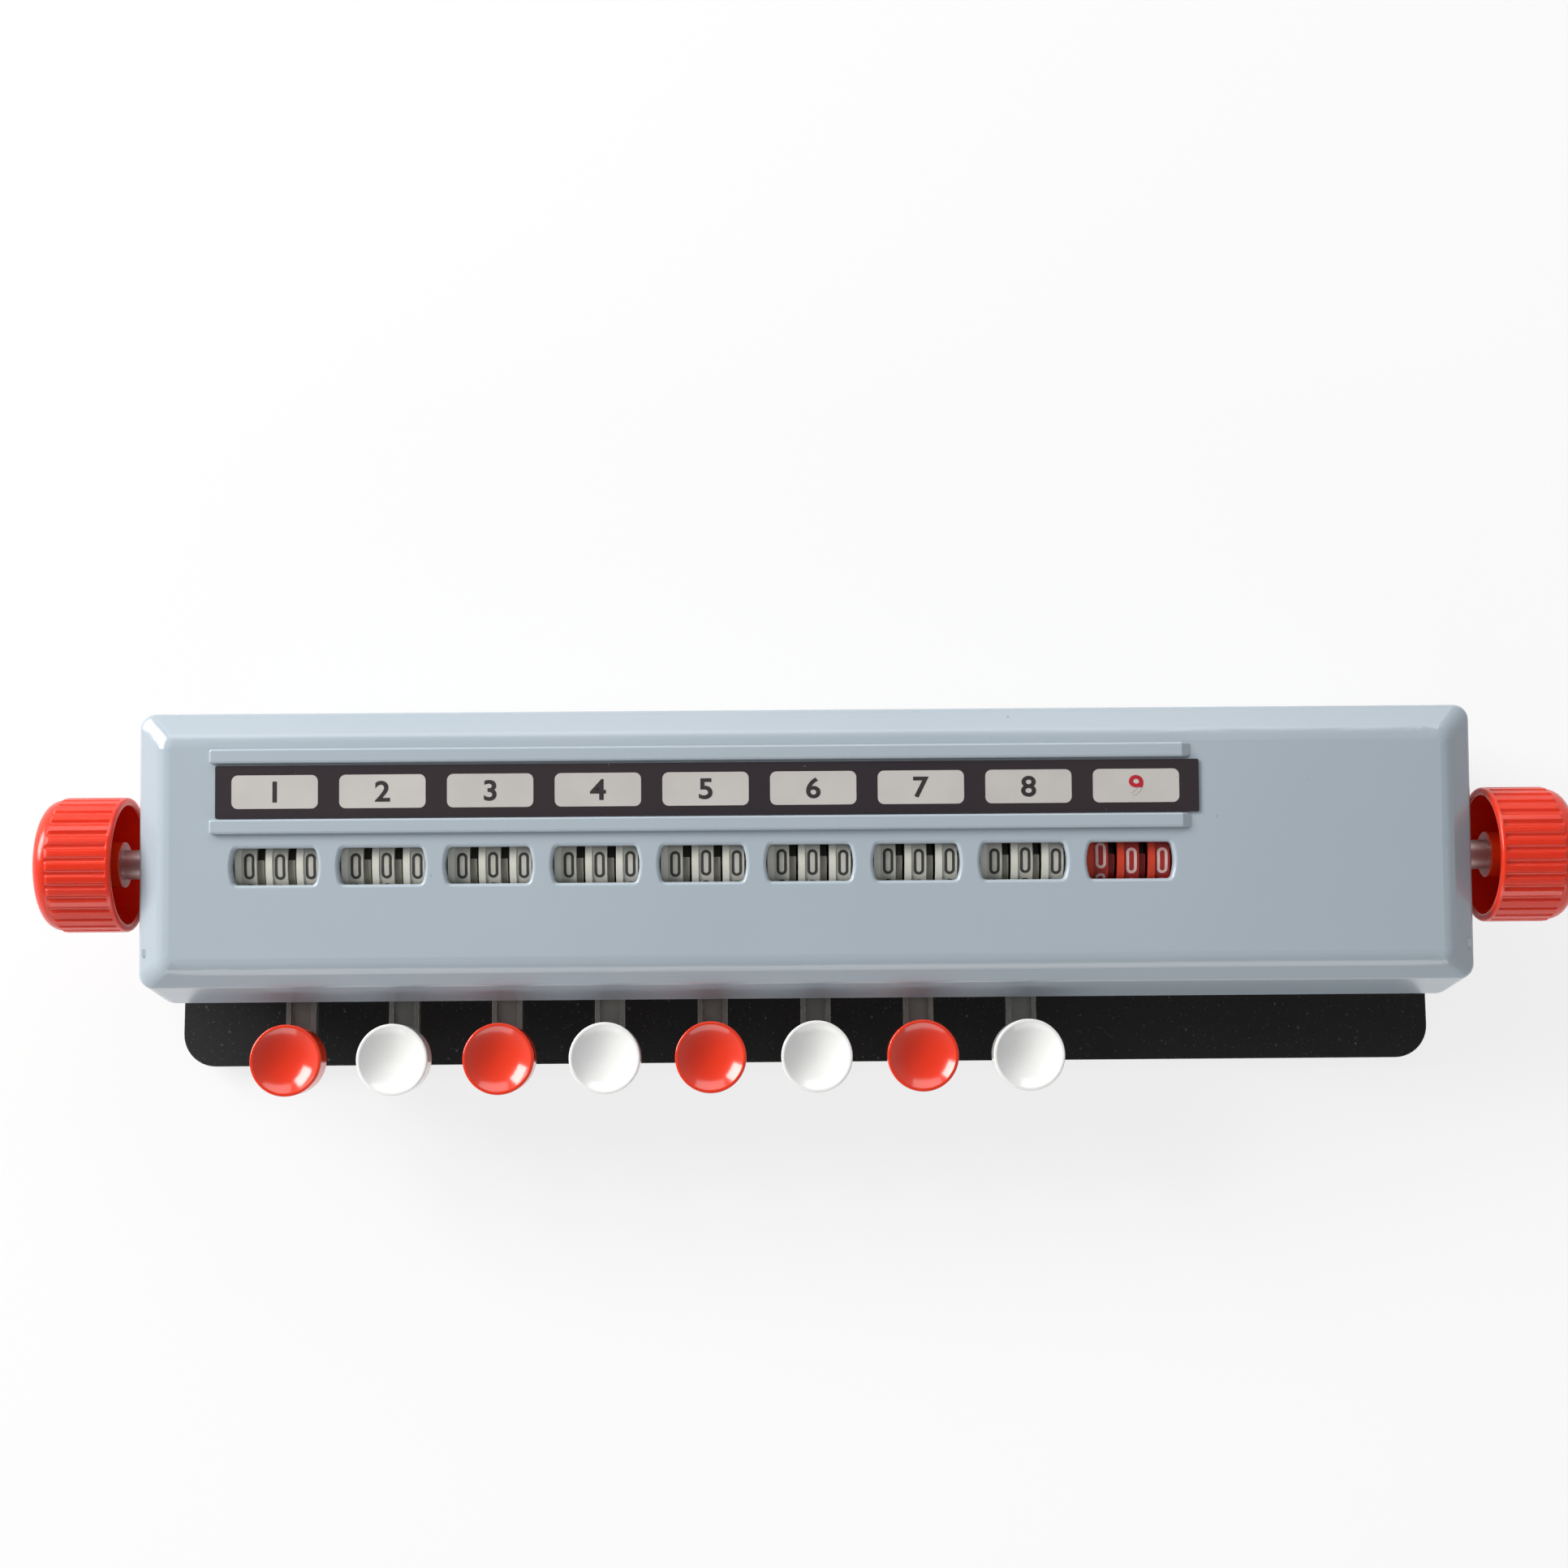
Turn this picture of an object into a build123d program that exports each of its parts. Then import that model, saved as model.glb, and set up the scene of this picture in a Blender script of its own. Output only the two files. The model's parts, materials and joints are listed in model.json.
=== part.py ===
from build123d import *
from math import atan2, cos, pi, radians, sin, tan
import os

# Mechanical differential cell counter: eight keys, eight three-figure counters and a total counter.
# X runs along the counter, Y to the rear, Z up. The origin is under the middle of the whole, on the table.

# Layout along X
counter_pitch = 22.0          # from one window, and one key, to the next
counter_count = 9             # the last one is the total counter
key_count = 8
counter_margin = 29.0         # from the left end to the centre of the first window
bell_bay = 71.6               # from the centre of the last window to the right end
key_shift = 1.25              # a key stands this far right of its window

# Housing
housing_depth = 56.7
housing_wall = 2.2
housing_corner = 3.0
foot_corner = 6.0             # of the housing, at its foot
panel_slope = 4.0             # degrees, down to the front
panel_front_height = 33.73    # of the panel, drawn out to the front wall, over the base plate
bevel_inset = 5.85            # at the ends and the rear
front_bevel_inset = 4.05
bevel_drop = 4.0
bevel_softness = 1.6          # radius along the lower edge of the bevel
panel_softness = 5.0          # radius along the edge of the panel
panel_corner = 2.6
front_lean = 12.8             # degrees that the front wall leans out towards its foot
key_slot_height = 16.7        # from the base plate to the foot of the front wall
key_slot_depth = 3.0

# Windows and label strip, placed along the panel from its rear edge
window_length = 17.9
window_width = 7.5
window_bow = 0.75             # how far the short sides curve out
window_corner = 0.9
window_softness = 0.8
window_place = 31.99
rail_length = 202.0
rail_width = 3.0
rail_height = 1.1
rail_softness = 0.55
rail_ramp = 2.0               # slope at the right end
rear_rail_place = 9.24
front_rail_place = 23.74
rail_middle_x = -21.6
strip_length = 202.3
strip_width = 10.85
strip_thickness = 0.4
strip_corner = 0.4
strip_place = 16.64
strip_middle_x = -20.25

# Base
plate_thickness = 1.6
plate_reach = 16.7            # in front of the housing
plate_inset = 1.3             # inside the housing, at the ends and the rear
plate_corner = 7.2
plate_rear_corner = 5.0
foot_height = 3.5
foot_diameter = 11.0
foot_chamfer = 0.7
foot_inset_x = 16.0
foot_inset_y = 11.0
screw_diameter = 2.9
screw_head_diameter = 6.0
screw_head_height = 1.5
screw_cone = 90               # degrees, of a countersunk head
screw_length = 12.0
frame_screw_length = 4.6
screw_clearance = 0.05
slot_width = 0.9              # of the cross in a screw's head
slot_length = 4.2
slot_depth = 0.8
post_diameter = 8.0
post_inset_x = 7.5            # of the screw posts, from the end walls
post_front_inset = 7.2
post_rear_inset = 8.0
post_rib = 1.6

# Digit wheels and their shaft
wheel_radius = 10.5
wheel_pitch = 6.36
digit_band = 3.1
wheel_flange = 1.4
wheel_shoulder = 0.25         # the figures' band stands this far under the flange
wheel_hub_radius = 9.5
wheel_hub_length = 1.4
notch_depth = 1.3             # of the carry notch in a hub
notch_width = 3.7
notch_angle = 79.0            # degrees, up from the rear
units_offset = 6.96           # from the window's centre to the middle of the units figures
shaft_diameter = 6.2
shaft_drop = 12.7             # of the shaft's axis, under the panel
shaft_setback = 0.75          # of the axis, behind the window's centre line
running_clearance = 0.05
shaft_chamfer = 0.3

# Counter frames
frame_sheet = 0.8
frame_depth = 17.0
frame_head_radius = 6.5
frame_gap = 0.6               # beside the outer wheels
frame_bore_clearance = 0.3

# Bushes
bush_diameter = 10.0
bush_flange_diameter = 13.0
bush_flange = 1.2
bush_overhang = 0.6

# Reset knobs
knob_diameter = 28.4
knob_length = 16.7
knob_gap = 4.5                # from the end wall to the knob's open rim
knob_wall = 1.7
knob_end_wall = 2.2
knob_round = 3.2              # of the closed end
knob_land = 0.15              # between the rounded end and the ribs
knob_step = 0.4               # the closed end stands this far under the ribs
knob_rim_round = 0.6
knob_lip = 0.9
knob_flutes = 32
flute_depth = 0.5
flute_radius = 0.85
knob_boss_diameter = 9.6
knob_boss_recess = 1.0
shaft_in_knob = 11.5

# Keys
key_reach = 15.1              # from the housing's front edge to the middle of a button
button_diameter = 14.8
button_height = 6.6
button_rim = 0.25             # rounding of the rim
button_rim_width = 0.6
button_dish_depth = 2.3
button_band = 1.5             # upright part of the skirt, under the rim
button_taper = 0.15
button_top_height = 28.0      # of the rim, over the base plate
button_edge = 0.4             # rounding of the skirt's foot
stem_diameter = 8.0
lever_width = 6.4
lever_height = 2.4
lever_floor = 1.0
lever_lip = 1.0
lever_top_height = 14.2       # over the base plate, outside the housing
lever_overhang = 2.4
lever_bend_place = 4.2        # behind the front edge
lever_bend_radius = 6.0
tongue_width = 4.0
tongue_thickness = 1.2
tongue_height = 7.5
slip_clearance = 0.1
pivot_inset = 10.5            # in front of the rear edge
pivot_height = 5.4            # over the base plate
pivot_diameter = 4.0
eye_diameter = 7.0
pawl_reach = 6.4              # in front of the pivot
pawl_height = 19.0            # of the pawl's tip, over the base plate
pawl_thickness = 1.2
total_pawl_thickness = 2.4
key_travel = 7.0              # degrees

# Key frame
frame_plate = 1.2
comb_place = 3.0
comb_height = 16.2
comb_clearance = 0.4
comb_slot_floor = 4.4
ear_height = 11.0
ear_length = 9.0
ear_round = 2.25
ear_gap = 0.8                 # from the left ear to the screw posts
rod_overrun = 4.0             # of the pivot rod, to the right of the last counter
felt_thickness = 2.0
felt_width = 3.4
felt_gap = 0.3
spring_place = 8.7
spring_diameter = 5.0
spring_wire = 0.6
spring_turns = 5

# Total bail
bail_bar = 2.5
bail_place = 14.25
bail_clearance = 0.35
bail_arm = 1.2
bail_arm_gap = 1.2            # beside the first counter's frame

# Bell
bell_share = 0.6              # of the housing's depth, taken up by the bell
bell_height = 10.5
bell_sheet = 1.2
bell_rim_height = 5.4         # over the base plate
bell_bay_place = 0.49         # share of the bay that lies to the bell's right
bell_gap = 5.2                # behind the comb
bell_post_diameter = 4.0
bell_nut_diameter = 7.0
bell_nut_height = 2.2
bell_nut_sink = 0.3
bell_nut_sides = 6
hammer_offset = 6.3           # of its stud, to the right of the pivot rod
hammer_gap = 2.1
hammer_head_diameter = 5.0
hammer_arm_width = 3.0
hammer_arm_thickness = 1.2
stud_diameter = 3.0
stud_height = 8.0
quarter_turn = 90
level_tolerance = 0.01        # within which two points count as level

# Places worked out from the sizes above
overall_depth = key_reach + button_diameter / 2 + housing_depth
front_y = key_reach + button_diameter / 2 - overall_depth / 2
rear_y = front_y + housing_depth
plate_top = foot_height + plate_thickness
slope_sin = sin(radians(panel_slope))
slope_cos = cos(radians(panel_slope))
housing_length = counter_margin + counter_pitch * (counter_count - 1) + bell_bay
end_x = housing_length / 2
counter_xs = [counter_margin - end_x + counter_pitch * n for n in range(counter_count)]
key_xs = [x + key_shift for x in counter_xs[:key_count]]
panel_normal = (0, -slope_sin, slope_cos)
panel_front_z = plate_top + panel_front_height
bevel_origin = (0, front_y, panel_front_z - bevel_drop / slope_cos)
bevel_plane = Plane(origin=bevel_origin, x_dir=(1, 0, 0), z_dir=panel_normal)
panel_plane = bevel_plane.offset(bevel_drop)
slope_depth = housing_depth / slope_cos
lean_reach = (bevel_origin[2] - plate_top) * tan(radians(front_lean))

window_line = slope_depth - window_place
shaft_point = panel_plane.from_local_coords((0, window_line + shaft_setback, -shaft_drop))
shaft_y, shaft_z = shaft_point.Y, shaft_point.Z
pivot_y, pivot_z = rear_y - pivot_inset, plate_top + pivot_height
pawl_y = pivot_y - pawl_reach
comb_y = front_y + comb_place
key_y = front_y - key_reach
lever_z = plate_top + lever_top_height - lever_height / 2
bend_y = front_y + lever_bend_place
lever_slope = (lever_z - pivot_z) / (pivot_y - bend_y)
frame_top = plate_top + frame_plate
rod_right_x = counter_xs[-1] + counter_pitch / 2 + rod_overrun
rod_left_x = -end_x + post_inset_x + post_diameter / 2 + ear_gap

os.makedirs("parts", exist_ok=True)


def keep(part, name):
    """Labels a finished piece and writes its file."""
    part.label = name
    export_step(part, f"parts/{name}.step")


def lever_centre_z(y):
    """Height of a lever's middle line at one place along it."""
    return lever_z - max(0.0, y - bend_y) * lever_slope


def drop_when_pressed(y, height):
    """Height that a lever's point comes to at the end of the key's travel."""
    angle = radians(key_travel)
    return pivot_z + (height - pivot_z) * cos(angle) - (pivot_y - y) * sin(angle)


def level_profile(depth, inset, front_inset, corner):
    """Rounded outline of the housing at one level, measured from its front edge."""
    with Locations((0, (depth + front_inset - inset) / 2)):
        RectangleRounded(housing_length - 2 * inset, depth - inset - front_inset, corner)


# Housing: a moulded shell. The inner faces lie one wall inside the outer ones, the bevel's too.
bevel_angle = atan2(bevel_drop, bevel_inset)
inner_fall = housing_wall * (1 / cos(bevel_angle) - tan(bevel_angle))
inner_rise = bevel_drop - housing_wall + inner_fall
inner_inset = housing_wall + inner_rise * bevel_inset / bevel_drop
inner_front_inset = housing_wall + inner_rise * front_bevel_inset / bevel_drop
inner_corner = housing_corner - housing_wall
foot_depth = housing_depth + lean_reach
post_points = [
    (side * (end_x - post_inset_x), y)
    for side in (-1, 1)
    for y in (front_y + post_front_inset, rear_y - post_rear_inset)
]
post_top = panel_front_z - housing_wall

# Window outline: straight along its length, with bowed ends
with BuildSketch() as window:
    half_length = window_length / 2 - window_bow
    half_width = window_width / 2
    with BuildLine():
        right = ThreePointArc(
            (half_length, -half_width), (half_length + window_bow, 0), (half_length, half_width)
        )
        top = Line(right @ 1, (-half_length, half_width))
        left = ThreePointArc(
            top @ 1, (-half_length - window_bow, 0), (-half_length, -half_width)
        )
        Line(left @ 1, right @ 0)
    make_face()
    fillet(window.vertices(), window_corner)

with BuildPart() as housing:
    with BuildSketch(Plane((0, front_y - lean_reach, plate_top))):
        level_profile(foot_depth, 0, 0, foot_corner)
    with BuildSketch(bevel_plane):
        level_profile(slope_depth, 0, 0, housing_corner)
    loft(ruled=True)
    with BuildSketch(bevel_plane):
        level_profile(slope_depth, 0, 0, housing_corner)
    with BuildSketch(panel_plane):
        level_profile(slope_depth, bevel_inset, front_bevel_inset, panel_corner)
    loft(ruled=True)
    for level, softness in ((panel_plane, panel_softness), (bevel_plane, bevel_softness)):
        level_edges = [
            edge
            for edge in housing.edges()
            if all(abs(level.to_local_coords(v.center()).Z) < level_tolerance for v in edge.vertices())
        ]
        fillet(level_edges, softness)

    with BuildSketch(Plane((0, front_y - lean_reach, plate_top))):
        level_profile(foot_depth, housing_wall, housing_wall, foot_corner - housing_wall)
    with BuildSketch(bevel_plane.offset(-inner_fall)):
        level_profile(slope_depth, housing_wall, housing_wall, inner_corner)
    loft(ruled=True, mode=Mode.SUBTRACT)
    with BuildSketch(bevel_plane.offset(-inner_fall)):
        level_profile(slope_depth, housing_wall, housing_wall, inner_corner)
    with BuildSketch(panel_plane.offset(-housing_wall)):
        level_profile(slope_depth, inner_inset, inner_front_inset, inner_corner)
    loft(ruled=True, mode=Mode.SUBTRACT)

    # Screw posts, each with a rib to the end wall
    with BuildSketch(Plane.XY.offset(plate_top)):
        with Locations(*post_points):
            Circle(post_diameter / 2)
        for x, y in post_points:
            wall_x = end_x - housing_wall / 2
            with Locations(((x + wall_x * (1 if x > 0 else -1)) / 2, y)):
                Rectangle(wall_x - abs(x), post_rib)
    extrude(amount=post_top - plate_top)
    with Locations(*[(x, y, plate_top) for x, y in post_points]):
        Hole(screw_diameter / 2 + screw_clearance, depth=screw_length)

    # Slot under the front wall, where the keys come out
    with BuildSketch(Plane.XY.offset(plate_top)):
        with Locations((0, front_y + key_slot_depth)):
            Rectangle(housing_length, 2 * lean_reach + 2 * key_slot_depth, align=(Align.CENTER, Align.MAX))
    extrude(amount=key_slot_height, mode=Mode.SUBTRACT)

    # Windows
    with BuildSketch(panel_plane):
        with Locations(*[(x, window_line) for x in counter_xs]):
            add(window.sketch)
    extrude(amount=-2 * housing_wall, mode=Mode.SUBTRACT)
    window_edges = [
        edge
        for edge in housing.edges()
        if all(abs(panel_plane.to_local_coords(v.center()).Z) < level_tolerance for v in edge.vertices())
        and abs(panel_plane.to_local_coords(edge.center()).Y - window_line) < window_width
        and abs(edge.center().X) < end_x - housing_corner - bevel_inset
    ]
    fillet(window_edges, window_softness)

    # Rails beside the label strip, ramped at the right end
    for place in (rear_rail_place, front_rail_place):
        rail_origin = panel_plane.from_local_coords((rail_middle_x, slope_depth - place, 0))
        with BuildSketch(Plane(origin=rail_origin, x_dir=(1, 0, 0), z_dir=-panel_plane.y_dir)):
            with BuildLine():
                Polyline(
                    (-rail_length / 2, 0),
                    (rail_length / 2, 0),
                    (rail_length / 2 - rail_ramp, rail_height),
                    (-rail_length / 2, rail_height),
                    close=True,
                )
            make_face()
        extrude(amount=rail_width / 2, both=True)
    rail_edges = [
        edge
        for edge in housing.edges()
        if panel_plane.to_local_coords(edge.center()).Z > level_tolerance
    ]
    fillet(rail_edges, rail_softness)

    # Bores of the shaft bushes
    with BuildSketch(Plane.YZ.offset(-end_x)):
        with Locations((shaft_y, shaft_z)):
            Circle(bush_diameter / 2)
    extrude(amount=housing_length, mode=Mode.SUBTRACT)

keep(housing.part, "housing")

# Bushes: pressed into the end walls from inside, with a flange on the inner face
with BuildPart() as shaft_bushes:
    for side in (-1, 1):
        wall_plane = Plane(origin=(side * end_x, shaft_y, shaft_z), x_dir=(0, 1, 0), z_dir=(side, 0, 0))
        with BuildSketch(wall_plane.offset(-housing_wall)):
            Circle(bush_diameter / 2)
        extrude(amount=housing_wall + bush_overhang)
        with BuildSketch(wall_plane.offset(-housing_wall)):
            Circle(bush_flange_diameter / 2)
        extrude(amount=-bush_flange)
        with BuildSketch(wall_plane.offset(bush_overhang)):
            Circle(shaft_diameter / 2 + running_clearance)
        extrude(amount=-(housing_wall + bush_overhang + bush_flange), mode=Mode.SUBTRACT)
keep(shaft_bushes.part, "shaft_bushes")

# Label strip: a printed strip laid on the panel between the rails
with BuildPart() as label_strip:
    with BuildSketch(panel_plane):
        with Locations((strip_middle_x, slope_depth - strip_place)):
            RectangleRounded(strip_length, strip_width, strip_corner)
    extrude(amount=strip_thickness)
keep(label_strip.part, "label_strip")

# Base plate: sheet metal, with wide corners where it reaches out under the keys
plate_depth = housing_depth + plate_reach - plate_inset
plate_middle_y = rear_y - plate_inset - plate_depth / 2
frame_screw_y = pivot_y - ear_length / 2 - screw_head_diameter / 2
frame_screw_points = [(x + counter_pitch / 2 - key_shift / 2, frame_screw_y) for x in counter_xs[1::2]]
screw_points = post_points + frame_screw_points
with BuildPart() as base_plate:
    with BuildSketch(Plane.XY.offset(foot_height)):
        with Locations((0, plate_middle_y)):
            Rectangle(housing_length - 2 * plate_inset, plate_depth)
        fillet(vertices().group_by(Axis.Y)[0], plate_corner)
        fillet(vertices().group_by(Axis.Y)[-1], plate_rear_corner)
    extrude(amount=plate_thickness)
    with Locations(Plane(origin=(0, 0, foot_height), x_dir=(1, 0, 0), z_dir=(0, 0, -1))):
        with Locations(*[(x, -y) for x, y in screw_points]):
            CounterSinkHole(
                radius=screw_diameter / 2 + screw_clearance,
                counter_sink_radius=screw_head_diameter / 2 + screw_clearance,
                counter_sink_angle=screw_cone,
            )
keep(base_plate.part, "base_plate")

# Feet: four rubber discs under the base plate
foot_points = [
    (side * (end_x - foot_inset_x), y)
    for side in (-1, 1)
    for y in (plate_middle_y - plate_depth / 2 + foot_inset_y, rear_y - foot_inset_y)
]
with BuildPart() as rubber_feet:
    with Locations(*[(x, y, 0) for x, y in foot_points]):
        Cylinder(foot_diameter / 2, foot_height, align=(Align.CENTER, Align.CENTER, Align.MIN))
    chamfer(rubber_feet.edges().group_by(Axis.Z)[0], foot_chamfer)
keep(rubber_feet.part, "rubber_feet")

# Screws: countersunk, four up into the posts and four that hold the key frame
with BuildPart() as base_screws:
    with BuildSketch(Plane.XY.offset(foot_height)):
        with Locations(*screw_points):
            Circle(screw_diameter / 2)
    extrude(amount=screw_length)
    with BuildSketch(Plane.XY.offset(foot_height + frame_screw_length)):
        with Locations(*frame_screw_points):
            Circle(screw_diameter)
    extrude(amount=screw_length, mode=Mode.SUBTRACT)
    with Locations(*[(x, y, foot_height) for x, y in screw_points]):
        Cone(
            screw_head_diameter / 2,
            screw_diameter / 2,
            screw_head_height,
            align=(Align.CENTER, Align.CENTER, Align.MIN),
        )
    with Locations(*[(x, y, foot_height) for x, y in screw_points]):
        Box(slot_length, slot_width, 2 * slot_depth, mode=Mode.SUBTRACT)
        Box(slot_width, slot_length, 2 * slot_depth, mode=Mode.SUBTRACT)
keep(base_screws.part, "base_screws")

# Digit wheel, drawn for the units of a counter in the middle of the row. The band that carries the
# figures has a flange at its left and a smaller hub, with a carry notch, at its right.
band_left = units_offset - digit_band / 2
band_right = band_left + digit_band
wheel_left = band_left - wheel_flange
wheel_length = wheel_flange + digit_band + wheel_hub_length
with BuildPart() as wheel:
    for start, length, radius in (
        (wheel_left, wheel_flange, wheel_radius),
        (band_left, digit_band, wheel_radius - wheel_shoulder),
        (band_right, wheel_hub_length, wheel_hub_radius),
    ):
        with BuildSketch(Plane.YZ.offset(start)):
            with Locations((shaft_y, shaft_z)):
                Circle(radius)
        extrude(amount=length)
    with BuildSketch(Plane.YZ.offset(wheel_left)):
        with Locations((shaft_y, shaft_z)):
            Circle(shaft_diameter / 2 + running_clearance)
    extrude(amount=wheel_length, mode=Mode.SUBTRACT)
    with BuildSketch(Plane.YZ.offset(band_right)):
        with Locations((shaft_y, shaft_z)):
            with PolarLocations(wheel_hub_radius, 1, start_angle=notch_angle):
                Rectangle(2 * notch_depth, notch_width)
    extrude(amount=wheel_hub_length, mode=Mode.SUBTRACT)

for number, counter_x in enumerate(counter_xs, start=1):
    for place, name in enumerate(("units", "tens", "hundreds")):
        wheel_x = counter_x - place * wheel_pitch
        keep(wheel.part.moved(Location((wheel_x, 0, 0))), f"{name}_wheel_{number}")

# Counter frames: a folded U of sheet steel round each set of three wheels
frame_left = wheel_left - 2 * wheel_pitch - frame_gap - frame_sheet
frame_right = wheel_left + wheel_length + frame_gap + frame_sheet
with BuildPart() as counter_frame:
    with BuildSketch(Plane.YZ.offset(frame_left)):
        with Locations((shaft_y, frame_top)):
            Rectangle(frame_depth, shaft_z - frame_top, align=(Align.CENTER, Align.MIN))
        with Locations((shaft_y, shaft_z)):
            Circle(frame_head_radius)
        fillet(vertices().group_by(Axis.Y)[0], frame_sheet)
        with Locations((shaft_y, shaft_z)):
            Circle(shaft_diameter / 2 + frame_bore_clearance, mode=Mode.SUBTRACT)
    extrude(amount=frame_right - frame_left)
    with BuildSketch(Plane.YZ.offset(frame_left + frame_sheet)):
        with Locations((shaft_y, frame_top + frame_sheet)):
            Rectangle(2 * frame_depth, 2 * shaft_z, align=(Align.CENTER, Align.MIN))
    extrude(amount=frame_right - frame_left - 2 * frame_sheet, mode=Mode.SUBTRACT)
with BuildPart() as counter_frames:
    with Locations(*[(x, 0, 0) for x in counter_xs]):
        add(counter_frame.part)
keep(counter_frames.part, "counter_frames")

# Reset shaft: right through the wheels and out at both ends into the knobs
knob_rim_x = end_x + knob_gap
shaft_end_x = knob_rim_x + shaft_in_knob
with BuildPart() as reset_shaft:
    with BuildSketch(Plane.YZ.offset(-shaft_end_x)):
        with Locations((shaft_y, shaft_z)):
            Circle(shaft_diameter / 2)
    extrude(amount=2 * shaft_end_x)
    chamfer(reset_shaft.edges().filter_by(GeomType.CIRCLE), shaft_chamfer)
keep(reset_shaft.part, "reset_shaft")

# Reset knobs: hollow caps, open towards the housing, ribbed outside, with a boss on the shaft. The
# closed end stands a little under the ribs.
knob_radius = knob_diameter / 2
knob_end_x = knob_rim_x + knob_length
rib_end_x = knob_end_x - knob_round - knob_land - knob_step
with BuildPart() as knob:
    with BuildSketch(Plane.XZ):
        with BuildLine():
            Polyline(
                (knob_rim_x, 0),
                (knob_rim_x, knob_radius),
                (rib_end_x, knob_radius),
                (rib_end_x + knob_step, knob_radius - knob_step),
                (knob_end_x, knob_radius - knob_step),
                (knob_end_x, 0),
                close=True,
            )
        make_face()
        fillet(vertices().group_by(Axis.X)[-1].sort_by(Axis.Y)[-1:], knob_round)
        with Locations((knob_rim_x, 0)):
            Rectangle(
                knob_length - knob_end_wall,
                knob_radius - knob_wall,
                align=(Align.MIN, Align.MIN),
                mode=Mode.SUBTRACT,
            )
        with Locations((knob_rim_x + knob_boss_recess, 0)):
            Rectangle(
                knob_length - knob_boss_recess - knob_end_wall,
                knob_boss_diameter / 2,
                align=(Align.MIN, Align.MIN),
            )
    revolve(axis=Axis.X)
    with BuildSketch(Plane.YZ.offset(knob_rim_x + knob_boss_recess)):
        Circle(shaft_diameter / 2)
    extrude(amount=shaft_in_knob - knob_boss_recess, mode=Mode.SUBTRACT)
    fillet(knob.edges().filter_by(GeomType.CIRCLE).group_by(Axis.X)[0], knob_rim_round)
    with BuildSketch(Plane.YZ.offset(knob_rim_x + knob_lip)):
        with PolarLocations(knob_radius + flute_radius - flute_depth, knob_flutes):
            Circle(flute_radius)
    extrude(amount=rib_end_x + knob_step - knob_rim_x - knob_lip, mode=Mode.SUBTRACT)
right_knob = knob.part.moved(Location((0, shaft_y, shaft_z)))
left_knob = mirror(knob.part, about=Plane.YZ).moved(Location((0, shaft_y, shaft_z)))
keep(right_knob, "right_knob")
keep(left_knob, "left_knob")

# Key lever, drawn in the middle of the row: a channel strip that rises from its eye on the pivot rod,
# runs out level under the front wall, and ends in a tongue that holds the button
with BuildPart() as lever:
    with BuildSketch(Plane.YZ.offset(-lever_width / 2)):
        with BuildLine() as lever_line:
            FilletPolyline(
                (pivot_y, pivot_z),
                (bend_y, lever_z),
                (key_y - lever_overhang, lever_z),
                radius=lever_bend_radius,
            )
        trace(line_width=lever_height)
    extrude(amount=lever_width)
    fillet(lever.edges().filter_by(Axis.Z).group_by(Axis.Y)[0], lever_lip)
    with BuildSketch(Plane.YZ.offset(-lever_width / 2 + lever_lip)):
        with BuildLine():
            add(lever_line.line.moved(Location((0, lever_floor, 0))))
        trace(line_width=lever_height)
    extrude(amount=lever_width - 2 * lever_lip, mode=Mode.SUBTRACT)
    with BuildSketch(Plane.YZ.offset(-lever_width / 2)):
        with Locations((pivot_y, pivot_z)):
            Circle(eye_diameter / 2)
    extrude(amount=lever_width)
    with BuildSketch(Plane.YZ.offset(-lever_width / 2)):
        with Locations((pivot_y, pivot_z)):
            Circle(pivot_diameter / 2 + running_clearance)
    extrude(amount=lever_width, mode=Mode.SUBTRACT)
    pawl_z = lever_centre_z(pawl_y)
    pawl_tip_z = plate_top + pawl_height
    with Locations((lever_width / 2 - lever_lip / 2, pawl_y, pawl_z)):
        Box(
            lever_lip,
            pawl_thickness,
            pawl_tip_z - pawl_z,
            align=(Align.CENTER, Align.CENTER, Align.MIN),
        )
    tongue_foot = lever_z - lever_height / 2
    with Locations((0, key_y, tongue_foot)):
        Box(
            tongue_width,
            tongue_thickness,
            lever_height + tongue_height,
            align=(Align.CENTER, Align.CENTER, Align.MIN),
        )

# Finger button, drawn in the middle of the row: a dished cap on a stem that stands on its lever
button_radius = button_diameter / 2
dish_radius = button_radius - button_rim_width
button_top = plate_top + button_top_height
stem_foot = plate_top + lever_top_height
skirt_foot = (button_radius - button_taper, button_top - button_height)
with BuildPart() as button:
    with BuildSketch(Plane.XZ):
        with BuildLine():
            dish = TangentArc(
                (0, button_top - button_dish_depth), (dish_radius, button_top), tangent=(1, 0)
            )
            Polyline(
                dish @ 1,
                (button_radius, button_top),
                (button_radius, button_top - button_band),
                skirt_foot,
                (stem_diameter / 2, button_top - button_height),
                (stem_diameter / 2, stem_foot),
                (0, stem_foot),
                dish @ 0,
            )
        make_face()
        fillet(vertices().group_by(Axis.Y)[-1], button_rim)
        fillet(vertices().sort_by_distance(skirt_foot)[:1], button_edge)
    revolve(axis=Axis.Z)
    with BuildSketch(Plane.XY.offset(stem_foot)):
        Rectangle(tongue_width + 2 * slip_clearance, tongue_thickness + 2 * slip_clearance)
    extrude(amount=tongue_height + slip_clearance, mode=Mode.SUBTRACT)

for number, key_x in enumerate(key_xs, start=1):
    keep(lever.part.moved(Location((key_x, 0, 0))), f"key_lever_{number}")
    keep(button.part.moved(Location((key_x, key_y, 0))), f"key_button_{number}")

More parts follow.
